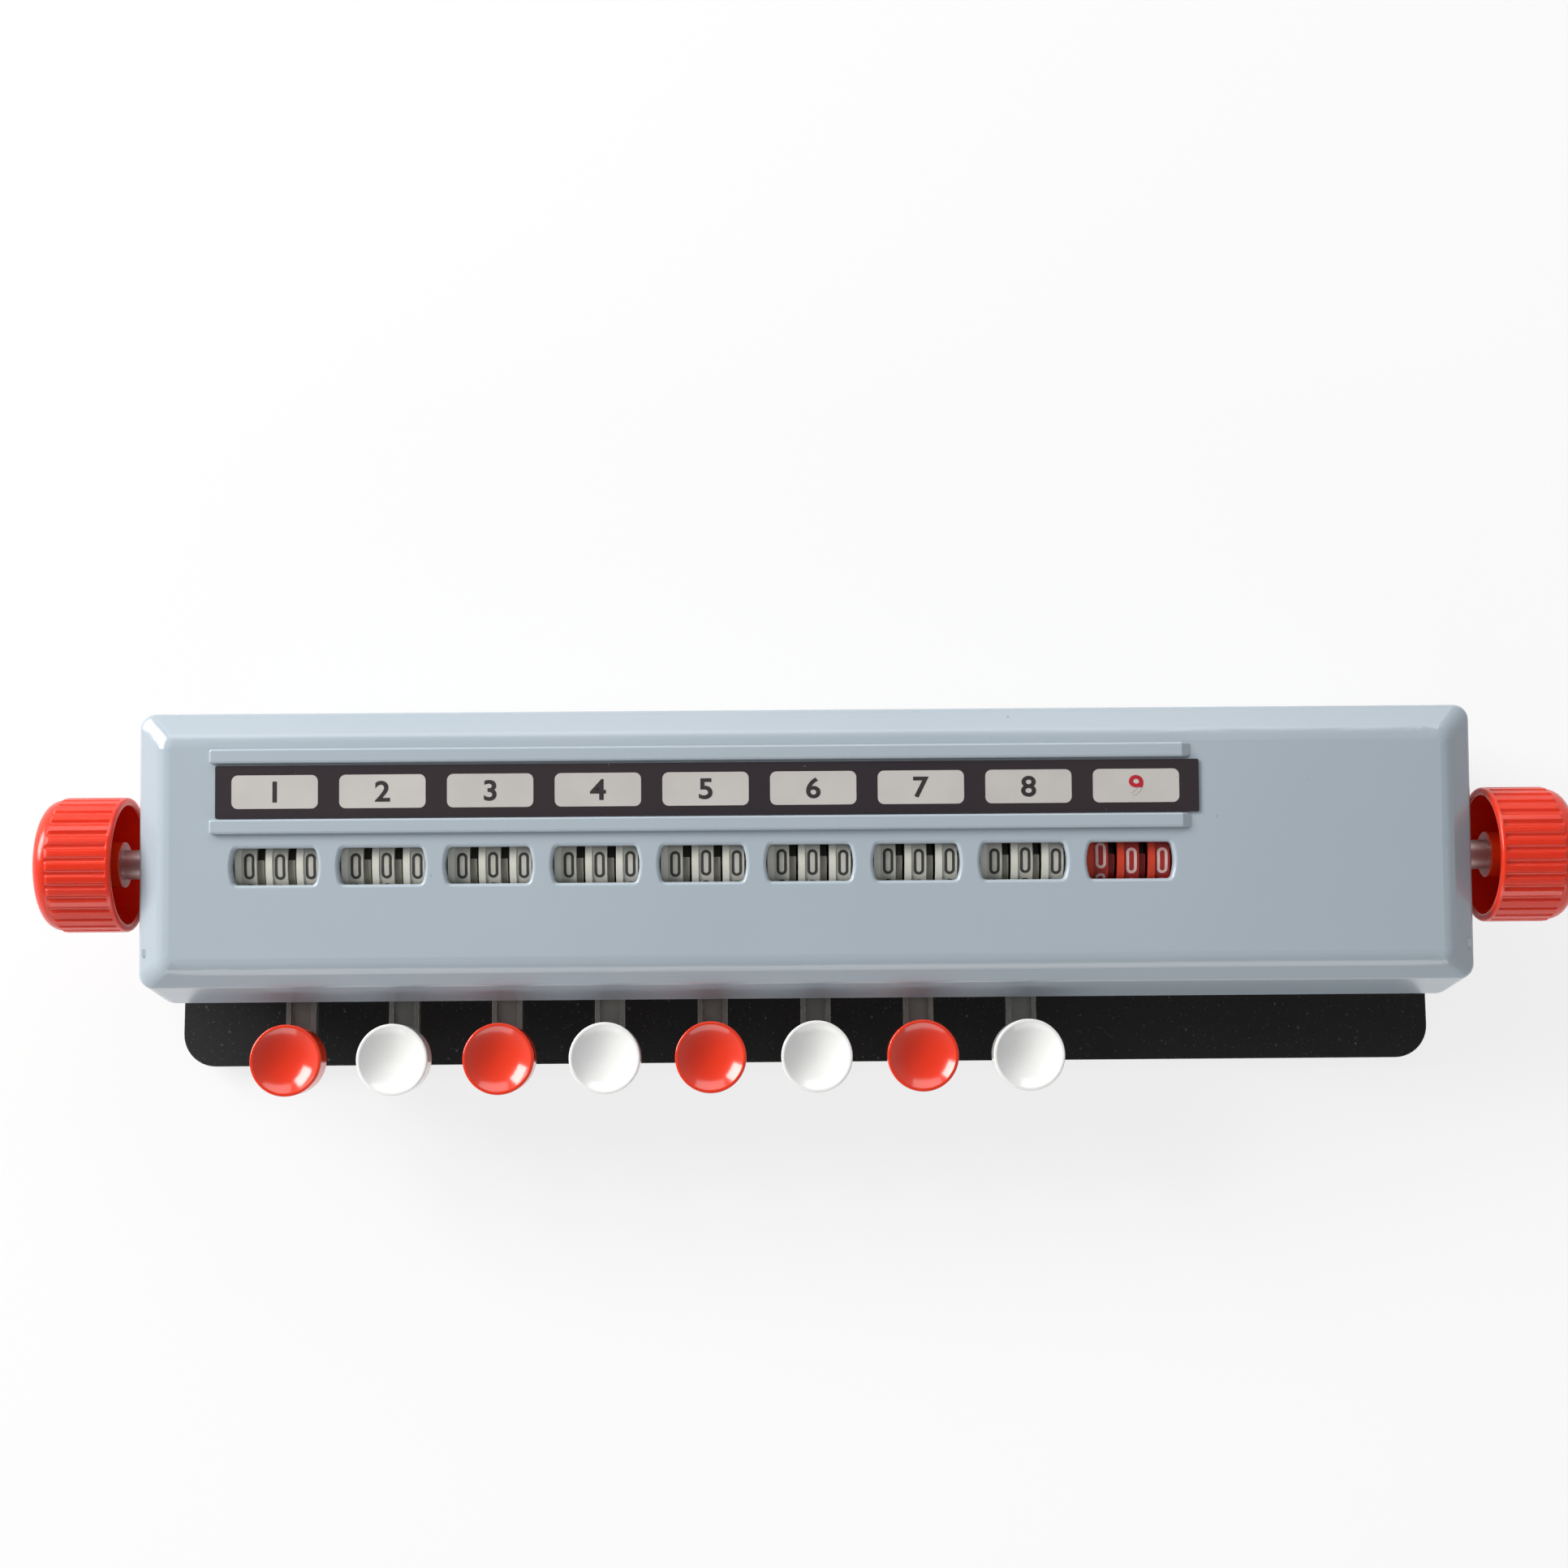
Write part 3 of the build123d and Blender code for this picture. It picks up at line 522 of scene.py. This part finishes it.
def build_base_black():
    """Fine matt black paint with grain, dust and rubbed edges."""
    made, tree, shader = new_finish("base_black", Specular_IOR_Level=0.35)
    tone = placed(tree, tone_drift, Colour=colour(24, 24, 25), Second_Colour=colour(19, 19, 20), Scale=40.0)
    skin = placed(
        tree, fine_skin, Wave_Scale=700.0, Grain_Scale=3500.0, Wave=0.5, Grain=0.7, Distance=0.00006,
    )
    spot = placed(tree, specks, Scale=560.0, Size=0.2, Share=0.35)
    fine_dust = placed(tree, specks, Scale=1900.0, Size=0.3, Share=0.3)
    all_dust = node(tree, "Math", operation="MAXIMUM")
    edge = placed(tree, edge_rub, Radius=0.0005)
    dusty = node(tree, "Mix", data_type="RGBA")
    dusty.inputs[7].default_value = colour(95, 95, 94)
    worn = node(tree, "Mix", data_type="RGBA")
    worn.inputs[7].default_value = colour(92, 90, 88)
    wire(
        tree,
        (spot, "Mask", all_dust, 0),
        (fine_dust, "Mask", all_dust, 1),
        (all_dust, "Value", dusty, 0),
        (tone, "Colour", dusty, 6),
        (edge, "Mask", worn, 0),
        (dusty, 2, worn, 6),
        (worn, 2, shader, "Base Color"),
        (skin, "Normal", shader, "Normal"),
    )
    roughness_from(tree, skin, "Mask", 0.55, 0.75, shader)
    return made


def build_felt():
    """Dense pressed felt: short tangled fibres and a soft sheen."""
    made, tree, shader = new_finish("stop_felt", Sheen_Weight=0.6, Sheen_Roughness=0.5, Roughness=0.95)
    tone = placed(
        tree, tone_drift, Colour=colour(84, 88, 84), Second_Colour=colour(64, 68, 66), Scale=500.0,
    )
    skin = placed(
        tree, fine_skin, Wave_Scale=900.0, Grain_Scale=5000.0, Wave=0.8, Grain=1.0, Distance=0.0002,
    )
    wire(tree, (tone, "Colour", shader, "Base Color"), (skin, "Normal", shader, "Normal"))
    return made


def build_wheel_finish(name, lit_flange, band, shaded_hub, shaded_notch):
    """Satin moulded wheel: a band for the figures, painted light on the flange, painted shade on the hub
    and notch.
    """
    made, tree, shader = new_finish(name, Specular_IOR_Level=0.4)
    place = node(tree, "TexCoord")
    offset = node(tree, "VectorMath", operation="SUBTRACT")
    offset.inputs[1].default_value = SHAFT
    parts = node(tree, "SeparateXYZ")
    flat = node(tree, "CombineXYZ")
    radius = node(tree, "VectorMath", operation="LENGTH")
    lit_flange_mask, on_band, shade_depth_mask = (
        node(tree, "MapRange", {"From Min": inside, "From Max": outside})
        for inside, outside in (LIT_FLANGE_EDGE, BAND_EDGE, SHADE_DEPTH_EDGE)
    )
    band_tone = placed(tree, tone_drift, Colour=band[0], Second_Colour=band[1], Scale=300.0)
    painted_shade_mix = node(tree, "Mix", data_type="RGBA")
    # painted shade: the hub is painted grey and its notch darker, for the shade in the gap between wheels
    painted_shade_mix.inputs[6].default_value = shaded_notch
    painted_shade_mix.inputs[7].default_value = shaded_hub
    low = node(tree, "Mix", data_type="RGBA")
    high = node(tree, "Mix", data_type="RGBA")
    # painted light: the flange is painted lighter than the band, for the light it catches
    high.inputs[7].default_value = lit_flange
    skin = placed(
        tree, fine_skin, Wave_Scale=500.0, Grain_Scale=4000.0, Wave=0.4, Grain=0.3, Distance=0.00004,
    )
    wire(
        tree,
        (place, "Object", offset, 0),
        (offset, "Vector", parts, "Vector"),
        (parts, "Y", flat, "Y"),
        (parts, "Z", flat, "Z"),
        (flat, "Vector", radius, 0),
        (radius, "Value", lit_flange_mask, "Value"),
        (radius, "Value", on_band, "Value"),
        (radius, "Value", shade_depth_mask, "Value"),
        (shade_depth_mask, "Result", painted_shade_mix, 0),
        (painted_shade_mix, 2, low, 6),
        (on_band, "Result", low, 0),
        (band_tone, "Colour", low, 7),
        (lit_flange_mask, "Result", high, 0),
        (low, 2, high, 6),
        (high, 2, shader, "Base Color"),
        (skin, "Normal", shader, "Normal"),
    )
    roughness_from(tree, skin, "Mask", 0.4, 0.55, shader)
    return made


base_black = build_base_black()
stop_felt = build_felt()
wheel_ivory = build_wheel_finish(
    "wheel_ivory",
    # painted light: flange lighter than the band
    lit_flange=colour(222, 220, 208),
    band=(colour(204, 202, 191), colour(195, 193, 182)),
    # painted shade: grey hub and darker notch
    shaded_hub=colour(152, 149, 138),
    shaded_notch=colour(66, 64, 58),
)
wheel_red = build_wheel_finish(
    "wheel_red",
    # painted light: flange lighter than the band
    lit_flange=colour(214, 66, 40),
    band=(colour(176, 50, 42), colour(164, 44, 38)),
    # painted shade: darker hub and darker notch
    shaded_hub=colour(140, 40, 34),
    shaded_notch=colour(62, 20, 18),
)


def printed(name, first, second, rough):
    """Printing ink, with a fine drift of tone."""
    return moulded(name, first, second, rough=rough, drift=900.0)


figure_ink = printed("figure_ink", colour(52, 50, 48), colour(62, 60, 57), (0.45, 0.6))
figure_pale = printed("figure_pale", colour(232, 196, 190), colour(222, 184, 178), (0.45, 0.6))
plate_ink = printed("plate_ink", colour(40, 34, 36), colour(50, 44, 46), (0.4, 0.5))
plate_red = printed("plate_red", colour(184, 30, 46), colour(172, 26, 42), (0.4, 0.5))

node_finishes = {
    "housing": housing_blue,
    "label_strip": strip_brown,
    "base_plate": base_black,
    "rubber_feet": foot_rubber,
    "base_screws": screw_zinc,
    "counter_frames": zinc_sheet,
    "shaft_bushes": bush_brass,
    "key_frame": zinc_sheet,
    "key_pivot_rod": shaft_steel,
    "key_stop_felt": stop_felt,
    "reset_shaft": shaft_steel,
    "left_knob": knob_red,
    "right_knob": knob_red,
    "total_bail": zinc_sheet,
    "bell": bell_plate,
    "bell_hammer": zinc_sheet,
}
for number in range(1, KEYS + 1):
    node_finishes[f"key_lever_{number}"] = lever_steel
    node_finishes[f"key_button_{number}"] = button_red if number % 2 else button_white
for number in range(1, COUNTERS + 1):
    for wheel in ("units", "tens", "hundreds"):
        node_finishes[f"{wheel}_wheel_{number}"] = wheel_red if number == COUNTERS else wheel_ivory
for name, finish in node_finishes.items():
    mesh = frame["nodes"][name].data
    mesh.materials.clear()
    mesh.materials.append(finish)


def new_piece(name, mesh, finish, body):
    """Puts a mesh into the scene as a piece that rides on a body."""
    mesh.materials.clear()
    mesh.materials.append(finish)
    made = bpy.data.objects.new(name, mesh)
    bpy.context.scene.collection.objects.link(made)
    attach(made, body)
    return made


# Strokes of the figures, as middle lines in a box one unit wide and one high, its middle at (0, 0)
def bow(x, y, wide, high, start, end, steps=14):
    """Points of an arc. Angles are in degrees, anticlockwise from the right."""
    angles = [math.radians(start + (end - start) * step / steps) for step in range(steps + 1)]
    return [(x + wide * math.cos(a), y + high * math.sin(a)) for a in angles]


ROUND = FIGURE_WIDTH / FIGURE_HEIGHT / 2   # height of a half circle as wide as the figure
TOP = 0.5 - ROUND
WAIST = 0.03
STROKES = {
    0: [(bow(0, TOP, 0.5, ROUND, 0, 180) + bow(0, -TOP, 0.5, ROUND, 180, 360), True)],
    1: [([(-0.25, 0.36), (0.12, 0.5), (0.12, -0.5)], False)],
    2: [(bow(0, TOP, 0.5, ROUND, 170, -20) + [(-0.5, -0.5), (0.52, -0.5)], False)],
    3: [
        (
            bow(0, TOP, 0.5, ROUND, 165, -70)
            + [(-0.05, WAIST)]
            + bow(0, -TOP, 0.5, ROUND * 1.1, 80, -165),
            False,
        )
    ],
    4: [([(0.52, -0.22), (-0.5, -0.22), (0.2, 0.5), (0.2, -0.5)], False)],
    5: [
        (
            [(0.46, 0.5), (-0.42, 0.5), (-0.46, 0.08)]
            + bow(0, -TOP + 0.05, 0.5, ROUND * 1.25, 110, -165),
            False,
        )
    ],
    6: [
        (
            bow(0, TOP, 0.5, ROUND, 20, 180)
            + bow(0, -TOP, 0.5, ROUND, 180, 360)
            + bow(0, -0.1, 0.5, ROUND, 0, 170),
            False,
        )
    ],
    7: [([(-0.5, 0.5), (0.5, 0.5), (-0.15, -0.5)], False)],
    8: [
        (bow(0, TOP, 0.42, ROUND * 0.9, 0, 180) + bow(0, 0.22, 0.42, ROUND, 180, 360), True),
        (bow(0, -0.15, 0.5, ROUND, 0, 180) + bow(0, -TOP, 0.5, ROUND, 180, 360), True),
    ],
    9: [
        (
            bow(0, -TOP, 0.5, ROUND, 200, 360)
            + bow(0, TOP, 0.5, ROUND, 0, 180)
            + bow(0, 0.1, 0.5, ROUND, 180, 350),
            False,
        )
    ],
}


def dense(points, closed, step):
    """The same line with more points, so that it bends round the wheel."""
    loop = points + points[:1] if closed else points
    out = []
    for (ax, ay), (bx, by) in zip(loop, loop[1:]):
        parts = max(1, math.ceil(math.hypot(bx - ax, by - ay) / step))
        out += [(ax + (bx - ax) * k / parts, ay + (by - ay) * k / parts) for k in range(parts)]
    return out if closed else out + [loop[-1]]


def offset_line(points, closed, half):
    """Left and right edges of a stroke, with mitred turns."""
    count = len(points)
    edges = []
    for i, (x, y) in enumerate(points):
        before = points[i - 1] if i or closed else None
        after = points[(i + 1) % count] if i < count - 1 or closed else None
        ways = []
        if before:
            ways.append(Vector((x - before[0], y - before[1])).normalized())
        if after:
            ways.append(Vector((after[0] - x, after[1] - y)).normalized())
        along = sum(ways, Vector((0.0, 0.0))).normalized()
        side = Vector((-along.y, along.x))
        reach = half / max(0.5, abs(side.dot(Vector((-ways[0].y, ways[0].x)))))
        edges.append((Vector((x, y)) + side * reach, Vector((x, y)) - side * reach))
    return edges


def add_stroke(form, points, closed, shape):
    """Adds one stroke to a mesh as a thin closed body. shape places (x, y, depth) in space."""
    edges = offset_line(points, closed, FIGURE_STROKE / 2)
    rings = []
    for left, right in edges:
        rings.append(
            [
                form.verts.new(shape(left.x, left.y, FIGURE_PROUD)),
                form.verts.new(shape(right.x, right.y, FIGURE_PROUD)),
                form.verts.new(shape(right.x, right.y, -FIGURE_SUNK)),
                form.verts.new(shape(left.x, left.y, -FIGURE_SUNK)),
            ]
        )
    pairs = list(zip(rings, rings[1:] + rings[:1] if closed else rings[1:]))
    for first, second in pairs:
        for k in range(4):
            form.faces.new((first[k], second[k], second[(k + 1) % 4], first[(k + 1) % 4]))
    if not closed:
        form.faces.new(rings[0][::-1])
        form.faces.new(rings[-1])


def wheel_figures(middle_x, slip):
    """The ten figures of a wheel, laid on its band. Slip turns them all a little."""
    form = bmesh.new()
    for figure, strokes in STROKES.items():
        turn = FIGURE_LEAN + FIGURE_STEP * figure + slip / BAND_RADIUS

        def laid(x, y, depth):
            angle = turn + y / BAND_RADIUS
            reach = BAND_RADIUS + depth
            return (middle_x + x, SHAFT.y + reach * math.sin(angle), SHAFT.z + reach * math.cos(angle))

        for points, closed in strokes:
            sized = [(x * FIGURE_WIDTH, y * FIGURE_HEIGHT) for x, y in points]
            add_stroke(form, dense(sized, closed, FIGURE_MESH_STEP), closed, laid)
    bmesh.ops.recalc_face_normals(form, faces=form.faces)
    mesh = bpy.data.meshes.new("wheel_figures")
    form.to_mesh(mesh)
    form.free()
    return mesh


chance = random.Random(7)
for number in range(1, COUNTERS + 1):
    for wheel in ("units", "tens", "hundreds"):
        low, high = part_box(f"{wheel}_wheel_{number}")
        middle = low[0] + FLANGE_WIDTH + BAND_WIDTH / 2
        total = number == COUNTERS
        slip = chance.uniform(-BACKLASH, BACKLASH)
        if total and wheel == "hundreds":
            slip = BETWEEN_FIGURES
        new_piece(
            f"{wheel}_figures_{number}",
            wheel_figures(middle, slip),
            figure_pale if total else figure_ink,
            f"{wheel}_{number}",
        )


# Number plates on the label strip
strip_low, strip_high = (Vector(corner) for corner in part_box("label_strip"))
strip_middle = (strip_low + strip_high) / 2
STRIP_THICKNESS = 0.4 * MM
strip_face = strip_middle + PANEL_NORMAL * STRIP_THICKNESS / 2


def on_strip(x, y, height):
    """A point on the strip's face: x from the object's middle, y along the slope from its middle line."""
    return Vector((x, strip_face.y, strip_face.z)) + PANEL_TURN @ Vector((0.0, y, height))


def rounded_plate(middle_x, size, corner, thickness):
    """A thin plate with round corners and a fine chamfer, laid on the strip."""
    form = bmesh.new()
    half_x, half_y = size[0] / 2 - corner, size[1] / 2 - corner
    outline = []
    for turn, (sx, sy) in enumerate(((1, 1), (-1, 1), (-1, -1), (1, -1))):
        for step in range(PLATE_CORNER_STEPS + 1):
            angle = math.radians(90 * turn + 90 * step / PLATE_CORNER_STEPS)
            outline.append((sx * half_x + corner * math.cos(angle), sy * half_y + corner * math.sin(angle)))
    levels = []
    for share, height in ((1.0, -thickness), (1.0, thickness * 0.6), (1.0 - PLATE_CHAMFER, thickness)):
        levels.append(
            [form.verts.new(on_strip(middle_x + x * share, y * share, height)) for x, y in outline]
        )
    for lower, upper in zip(levels, levels[1:]):
        for i in range(len(outline)):
            j = (i + 1) % len(outline)
            form.faces.new((lower[i], lower[j], upper[j], upper[i]))
    form.faces.new(levels[-1])
    form.faces.new(levels[0][::-1])
    bmesh.ops.recalc_face_normals(form, faces=form.faces)
    mesh = bpy.data.meshes.new("number_plate")
    form.to_mesh(mesh)
    form.free()
    return mesh


def printed_figure(text, middle_x):
    """A plain figure as a thin raised body, centred on its plate."""
    curve = bpy.data.curves.new("printed_figure", "FONT")
    curve.body = text
    curve.size = 1.0
    curve.extrude = 0.5
    curve.offset = PLATE_FIGURE_WEIGHT
    curve.resolution_u = 6
    holder = bpy.data.objects.new("printed_figure", curve)
    bpy.context.scene.collection.objects.link(holder)
    mesh = bpy.data.meshes.new_from_object(holder)
    bpy.data.objects.remove(holder)
    bpy.data.curves.remove(curve)
    low = [min(v.co[k] for v in mesh.vertices) for k in range(3)]
    high = [max(v.co[k] for v in mesh.vertices) for k in range(3)]
    scale = PLATE_FIGURE_HEIGHT / (high[1] - low[1])
    for v in mesh.vertices:
        x = (v.co.x - (low[0] + high[0]) / 2) * scale * PLATE_FIGURE_WIDENING
        y = (v.co.y - (low[1] + high[1]) / 2) * scale
        height = PLATE_THICKNESS + (PLATE_FIGURE_THICKNESS if v.co.z > 0 else -PLATE_THICKNESS)
        v.co = on_strip(middle_x + x, y, height)
    return mesh


for number in range(1, COUNTERS + 1):
    plate_x = PLATE_FIRST_X + PLATE_PITCH * (number - 1)
    new_piece(
        f"number_plate_{number}",
        rounded_plate(plate_x, PLATE_SIZE, PLATE_CORNER, PLATE_THICKNESS),
        plate_grey,
        "root",
    )
    new_piece(
        f"plate_number_{number}",
        printed_figure(str(number), plate_x),
        plate_red if number == COUNTERS else plate_ink,
        "root",
    )


# Return springs, each shut by its own key
def coil_mesh(middle, foot, top, radius):
    """A round wire wound into a spring with closed ends."""
    form = bmesh.new()
    around, per_turn = 10, 28
    count = int(SPRING_TURNS * per_turn)
    rings = []
    for i in range(count + 1):
        share = i / count
        eased = min(1.0, max(0.0, (share - SPRING_END) / (1 - 2 * SPRING_END)))
        angle = 2 * math.pi * SPRING_TURNS * share
        height = foot + SPRING_WIRE / 2 + (top - foot - SPRING_WIRE) * eased
        out = Vector((math.cos(angle), math.sin(angle), 0.0))
        centre = Vector((middle.x, middle.y, height)) + out * radius
        ring = []
        for k in range(around):
            turn = 2 * math.pi * k / around
            way = out * math.cos(turn) + Vector((0, 0, 1)) * math.sin(turn)
            ring.append(form.verts.new(centre + way * SPRING_WIRE / 2))
        rings.append(ring)
    for first, second in zip(rings, rings[1:]):
        for k in range(around):
            form.faces.new((first[k], first[(k + 1) % around], second[(k + 1) % around], second[k]))
    form.faces.new(rings[0][::-1])
    form.faces.new(rings[-1])
    bmesh.ops.recalc_face_normals(form, faces=form.faces)
    mesh = bpy.data.meshes.new("return_spring")
    form.to_mesh(mesh)
    form.free()
    for face in mesh.polygons:
        face.use_smooth = True
    return mesh


springs_low, springs_high = (Vector(corner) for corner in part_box("return_springs"))
spring_radius = (springs_high.y - springs_low.y - SPRING_WIRE) / 2
for number in range(1, KEYS + 1):
    key_x = joint_places[f"key_press_{number}"].x
    middle = Vector((key_x, (springs_low.y + springs_high.y) / 2, 0.0))
    spring = new_piece(
        f"return_spring_{number}",
        coil_mesh(middle, springs_low.z, springs_high.z, spring_radius),
        spring_wire,
        "root",
    )
    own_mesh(spring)
    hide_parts("return_springs")


# Floor, light and camera
FLOOR_REACH = 6.0
FLOOR_GLOW = 0.78                 # share of plain white that the camera sees in the floor
SKY_LIGHT = 0.27
SKY_SHADES = [(0.0, 0.95), (0.35, 0.8), (0.75, 0.35), (1.0, 0.25)]   # by height, as mirrors see it
IMAGE_SIDE = 1932.0
SENSOR = 36.0
FOCAL_PIXELS = 2550.0
CAMERA_PLACE = (-5.551 * MM, -25.707 * MM, 464.874 * MM)
CAMERA_TURN = Euler((math.radians(6.645), math.radians(-0.0949), math.radians(-0.453)))


def background_rays(tree):
    """One for rays that show a background as it is: those of the camera, mirrors and glass."""
    paths = node(tree, "LightPath")
    mirrored = node(tree, "Math", operation="MAXIMUM")
    every = node(tree, "Math", operation="MAXIMUM")
    wire(
        tree,
        (paths, "Is Camera Ray", mirrored, 0),
        (paths, "Is Glossy Ray", mirrored, 1),
        (mirrored, "Value", every, 0),
        (paths, "Is Transmission Ray", every, 1),
    )
    return every


floor_mesh = bpy.data.meshes.new("floor")
floor_mesh.from_pydata(
    [(x * FLOOR_REACH, y * FLOOR_REACH, 0) for x, y in ((-1, -1), (1, -1), (1, 1), (-1, 1))],
    [],
    [(0, 1, 2, 3)],
)
floor = bpy.data.objects.new("floor", floor_mesh)
bpy.context.scene.collection.objects.link(floor)
floor_white, floor_tree, floor_shader = new_finish("floor_white", Roughness=0.9, Specular_IOR_Level=0.1)
floor_tone = placed(
    floor_tree, tone_drift, Colour=(0.86, 0.86, 0.86, 1.0), Second_Colour=(0.85, 0.85, 0.85, 1.0), Scale=2.0
)
floor_glow = node(floor_tree, "Emission", {"Color": (1.0, 1.0, 1.0, 1.0), "Strength": 1.0})
floor_share = node(floor_tree, "Math", operation="MULTIPLY")
floor_share.inputs[1].default_value = FLOOR_GLOW
floor_mix = node(floor_tree, "MixShader")
wire(
    floor_tree,
    (floor_tone, "Colour", floor_shader, "Base Color"),
    (background_rays(floor_tree), 0, floor_share, 0),
    (floor_share, "Value", floor_mix, 0),
    (floor_shader, "BSDF", floor_mix, 1),
    (floor_glow, "Emission", floor_mix, 2),
    (floor_mix, "Shader", floor_tree.nodes["Material Output"], "Surface"),
)
floor_mesh.materials.append(floor_white)

world = bpy.data.worlds.new("studio")
bpy.context.scene.world = world
world.use_nodes = True
sky = world.node_tree
sky.nodes.clear()
height = node(sky, "TexCoord")
level = node(sky, "SeparateXYZ")
shade = ramp(sky, SKY_SHADES)
lit = node(sky, "Background", {"Color": (0.93, 0.96, 1.0, 1.0), "Strength": SKY_LIGHT})
shown = node(sky, "Background", {"Strength": 1.0})
either = node(sky, "MixShader")
sky_out = node(sky, "OutputWorld")
wire(
    sky,
    (height, "Generated", level, "Vector"),
    (level, "Z", shade, "Fac"),
    (shade, "Color", shown, "Color"),
    (background_rays(sky), 0, either, 0),
    (lit, "Background", either, 1),
    (shown, "Background", either, 2),
    (either, "Shader", sky_out, "Surface"),
)


def lamp(name, place, aim, size, power, tint=(1.0, 1.0, 1.0)):
    """A soft rectangular lamp turned to a point of the object."""
    data = bpy.data.lights.new(name, "AREA")
    data.shape = "RECTANGLE"
    data.size, data.size_y = size
    data.energy = power
    data.color = tint
    made = bpy.data.objects.new(name, data)
    made.location = place
    made.rotation_euler = (Vector(aim) - Vector(place)).to_track_quat("-Z", "Y").to_euler()
    bpy.context.scene.collection.objects.link(made)


lamp(
    "window_light",
    place=(-1.18, 0.63, 0.74),
    aim=(0.0, 0.0, 0.03),
    size=(0.85, 0.6),
    power=27.0,
    tint=(1.0, 0.99, 0.97),
)
lamp("rear_light", place=(-0.04, 1.02, 0.64), aim=(0.0, 0.0, 0.03), size=(1.2, 0.4), power=4.5)
lamp(
    "front_light",
    place=(0.0, -0.95, 0.36),
    aim=(0.0, 0.0, 0.02),
    size=(1.4, 0.35),
    power=3.8,
    tint=(1.0, 0.98, 0.97),
)

camera_data = bpy.data.cameras.new("camera")
camera_data.sensor_width = SENSOR
camera_data.sensor_fit = "HORIZONTAL"
camera_data.lens = FOCAL_PIXELS / IMAGE_SIDE * SENSOR
camera_data.clip_start = 0.01
camera = bpy.data.objects.new("camera", camera_data)
camera.location = CAMERA_PLACE
camera.rotation_euler = CAMERA_TURN
bpy.context.scene.collection.objects.link(camera)
bpy.context.scene.camera = camera

bpy.context.scene.view_settings.view_transform = "Standard"
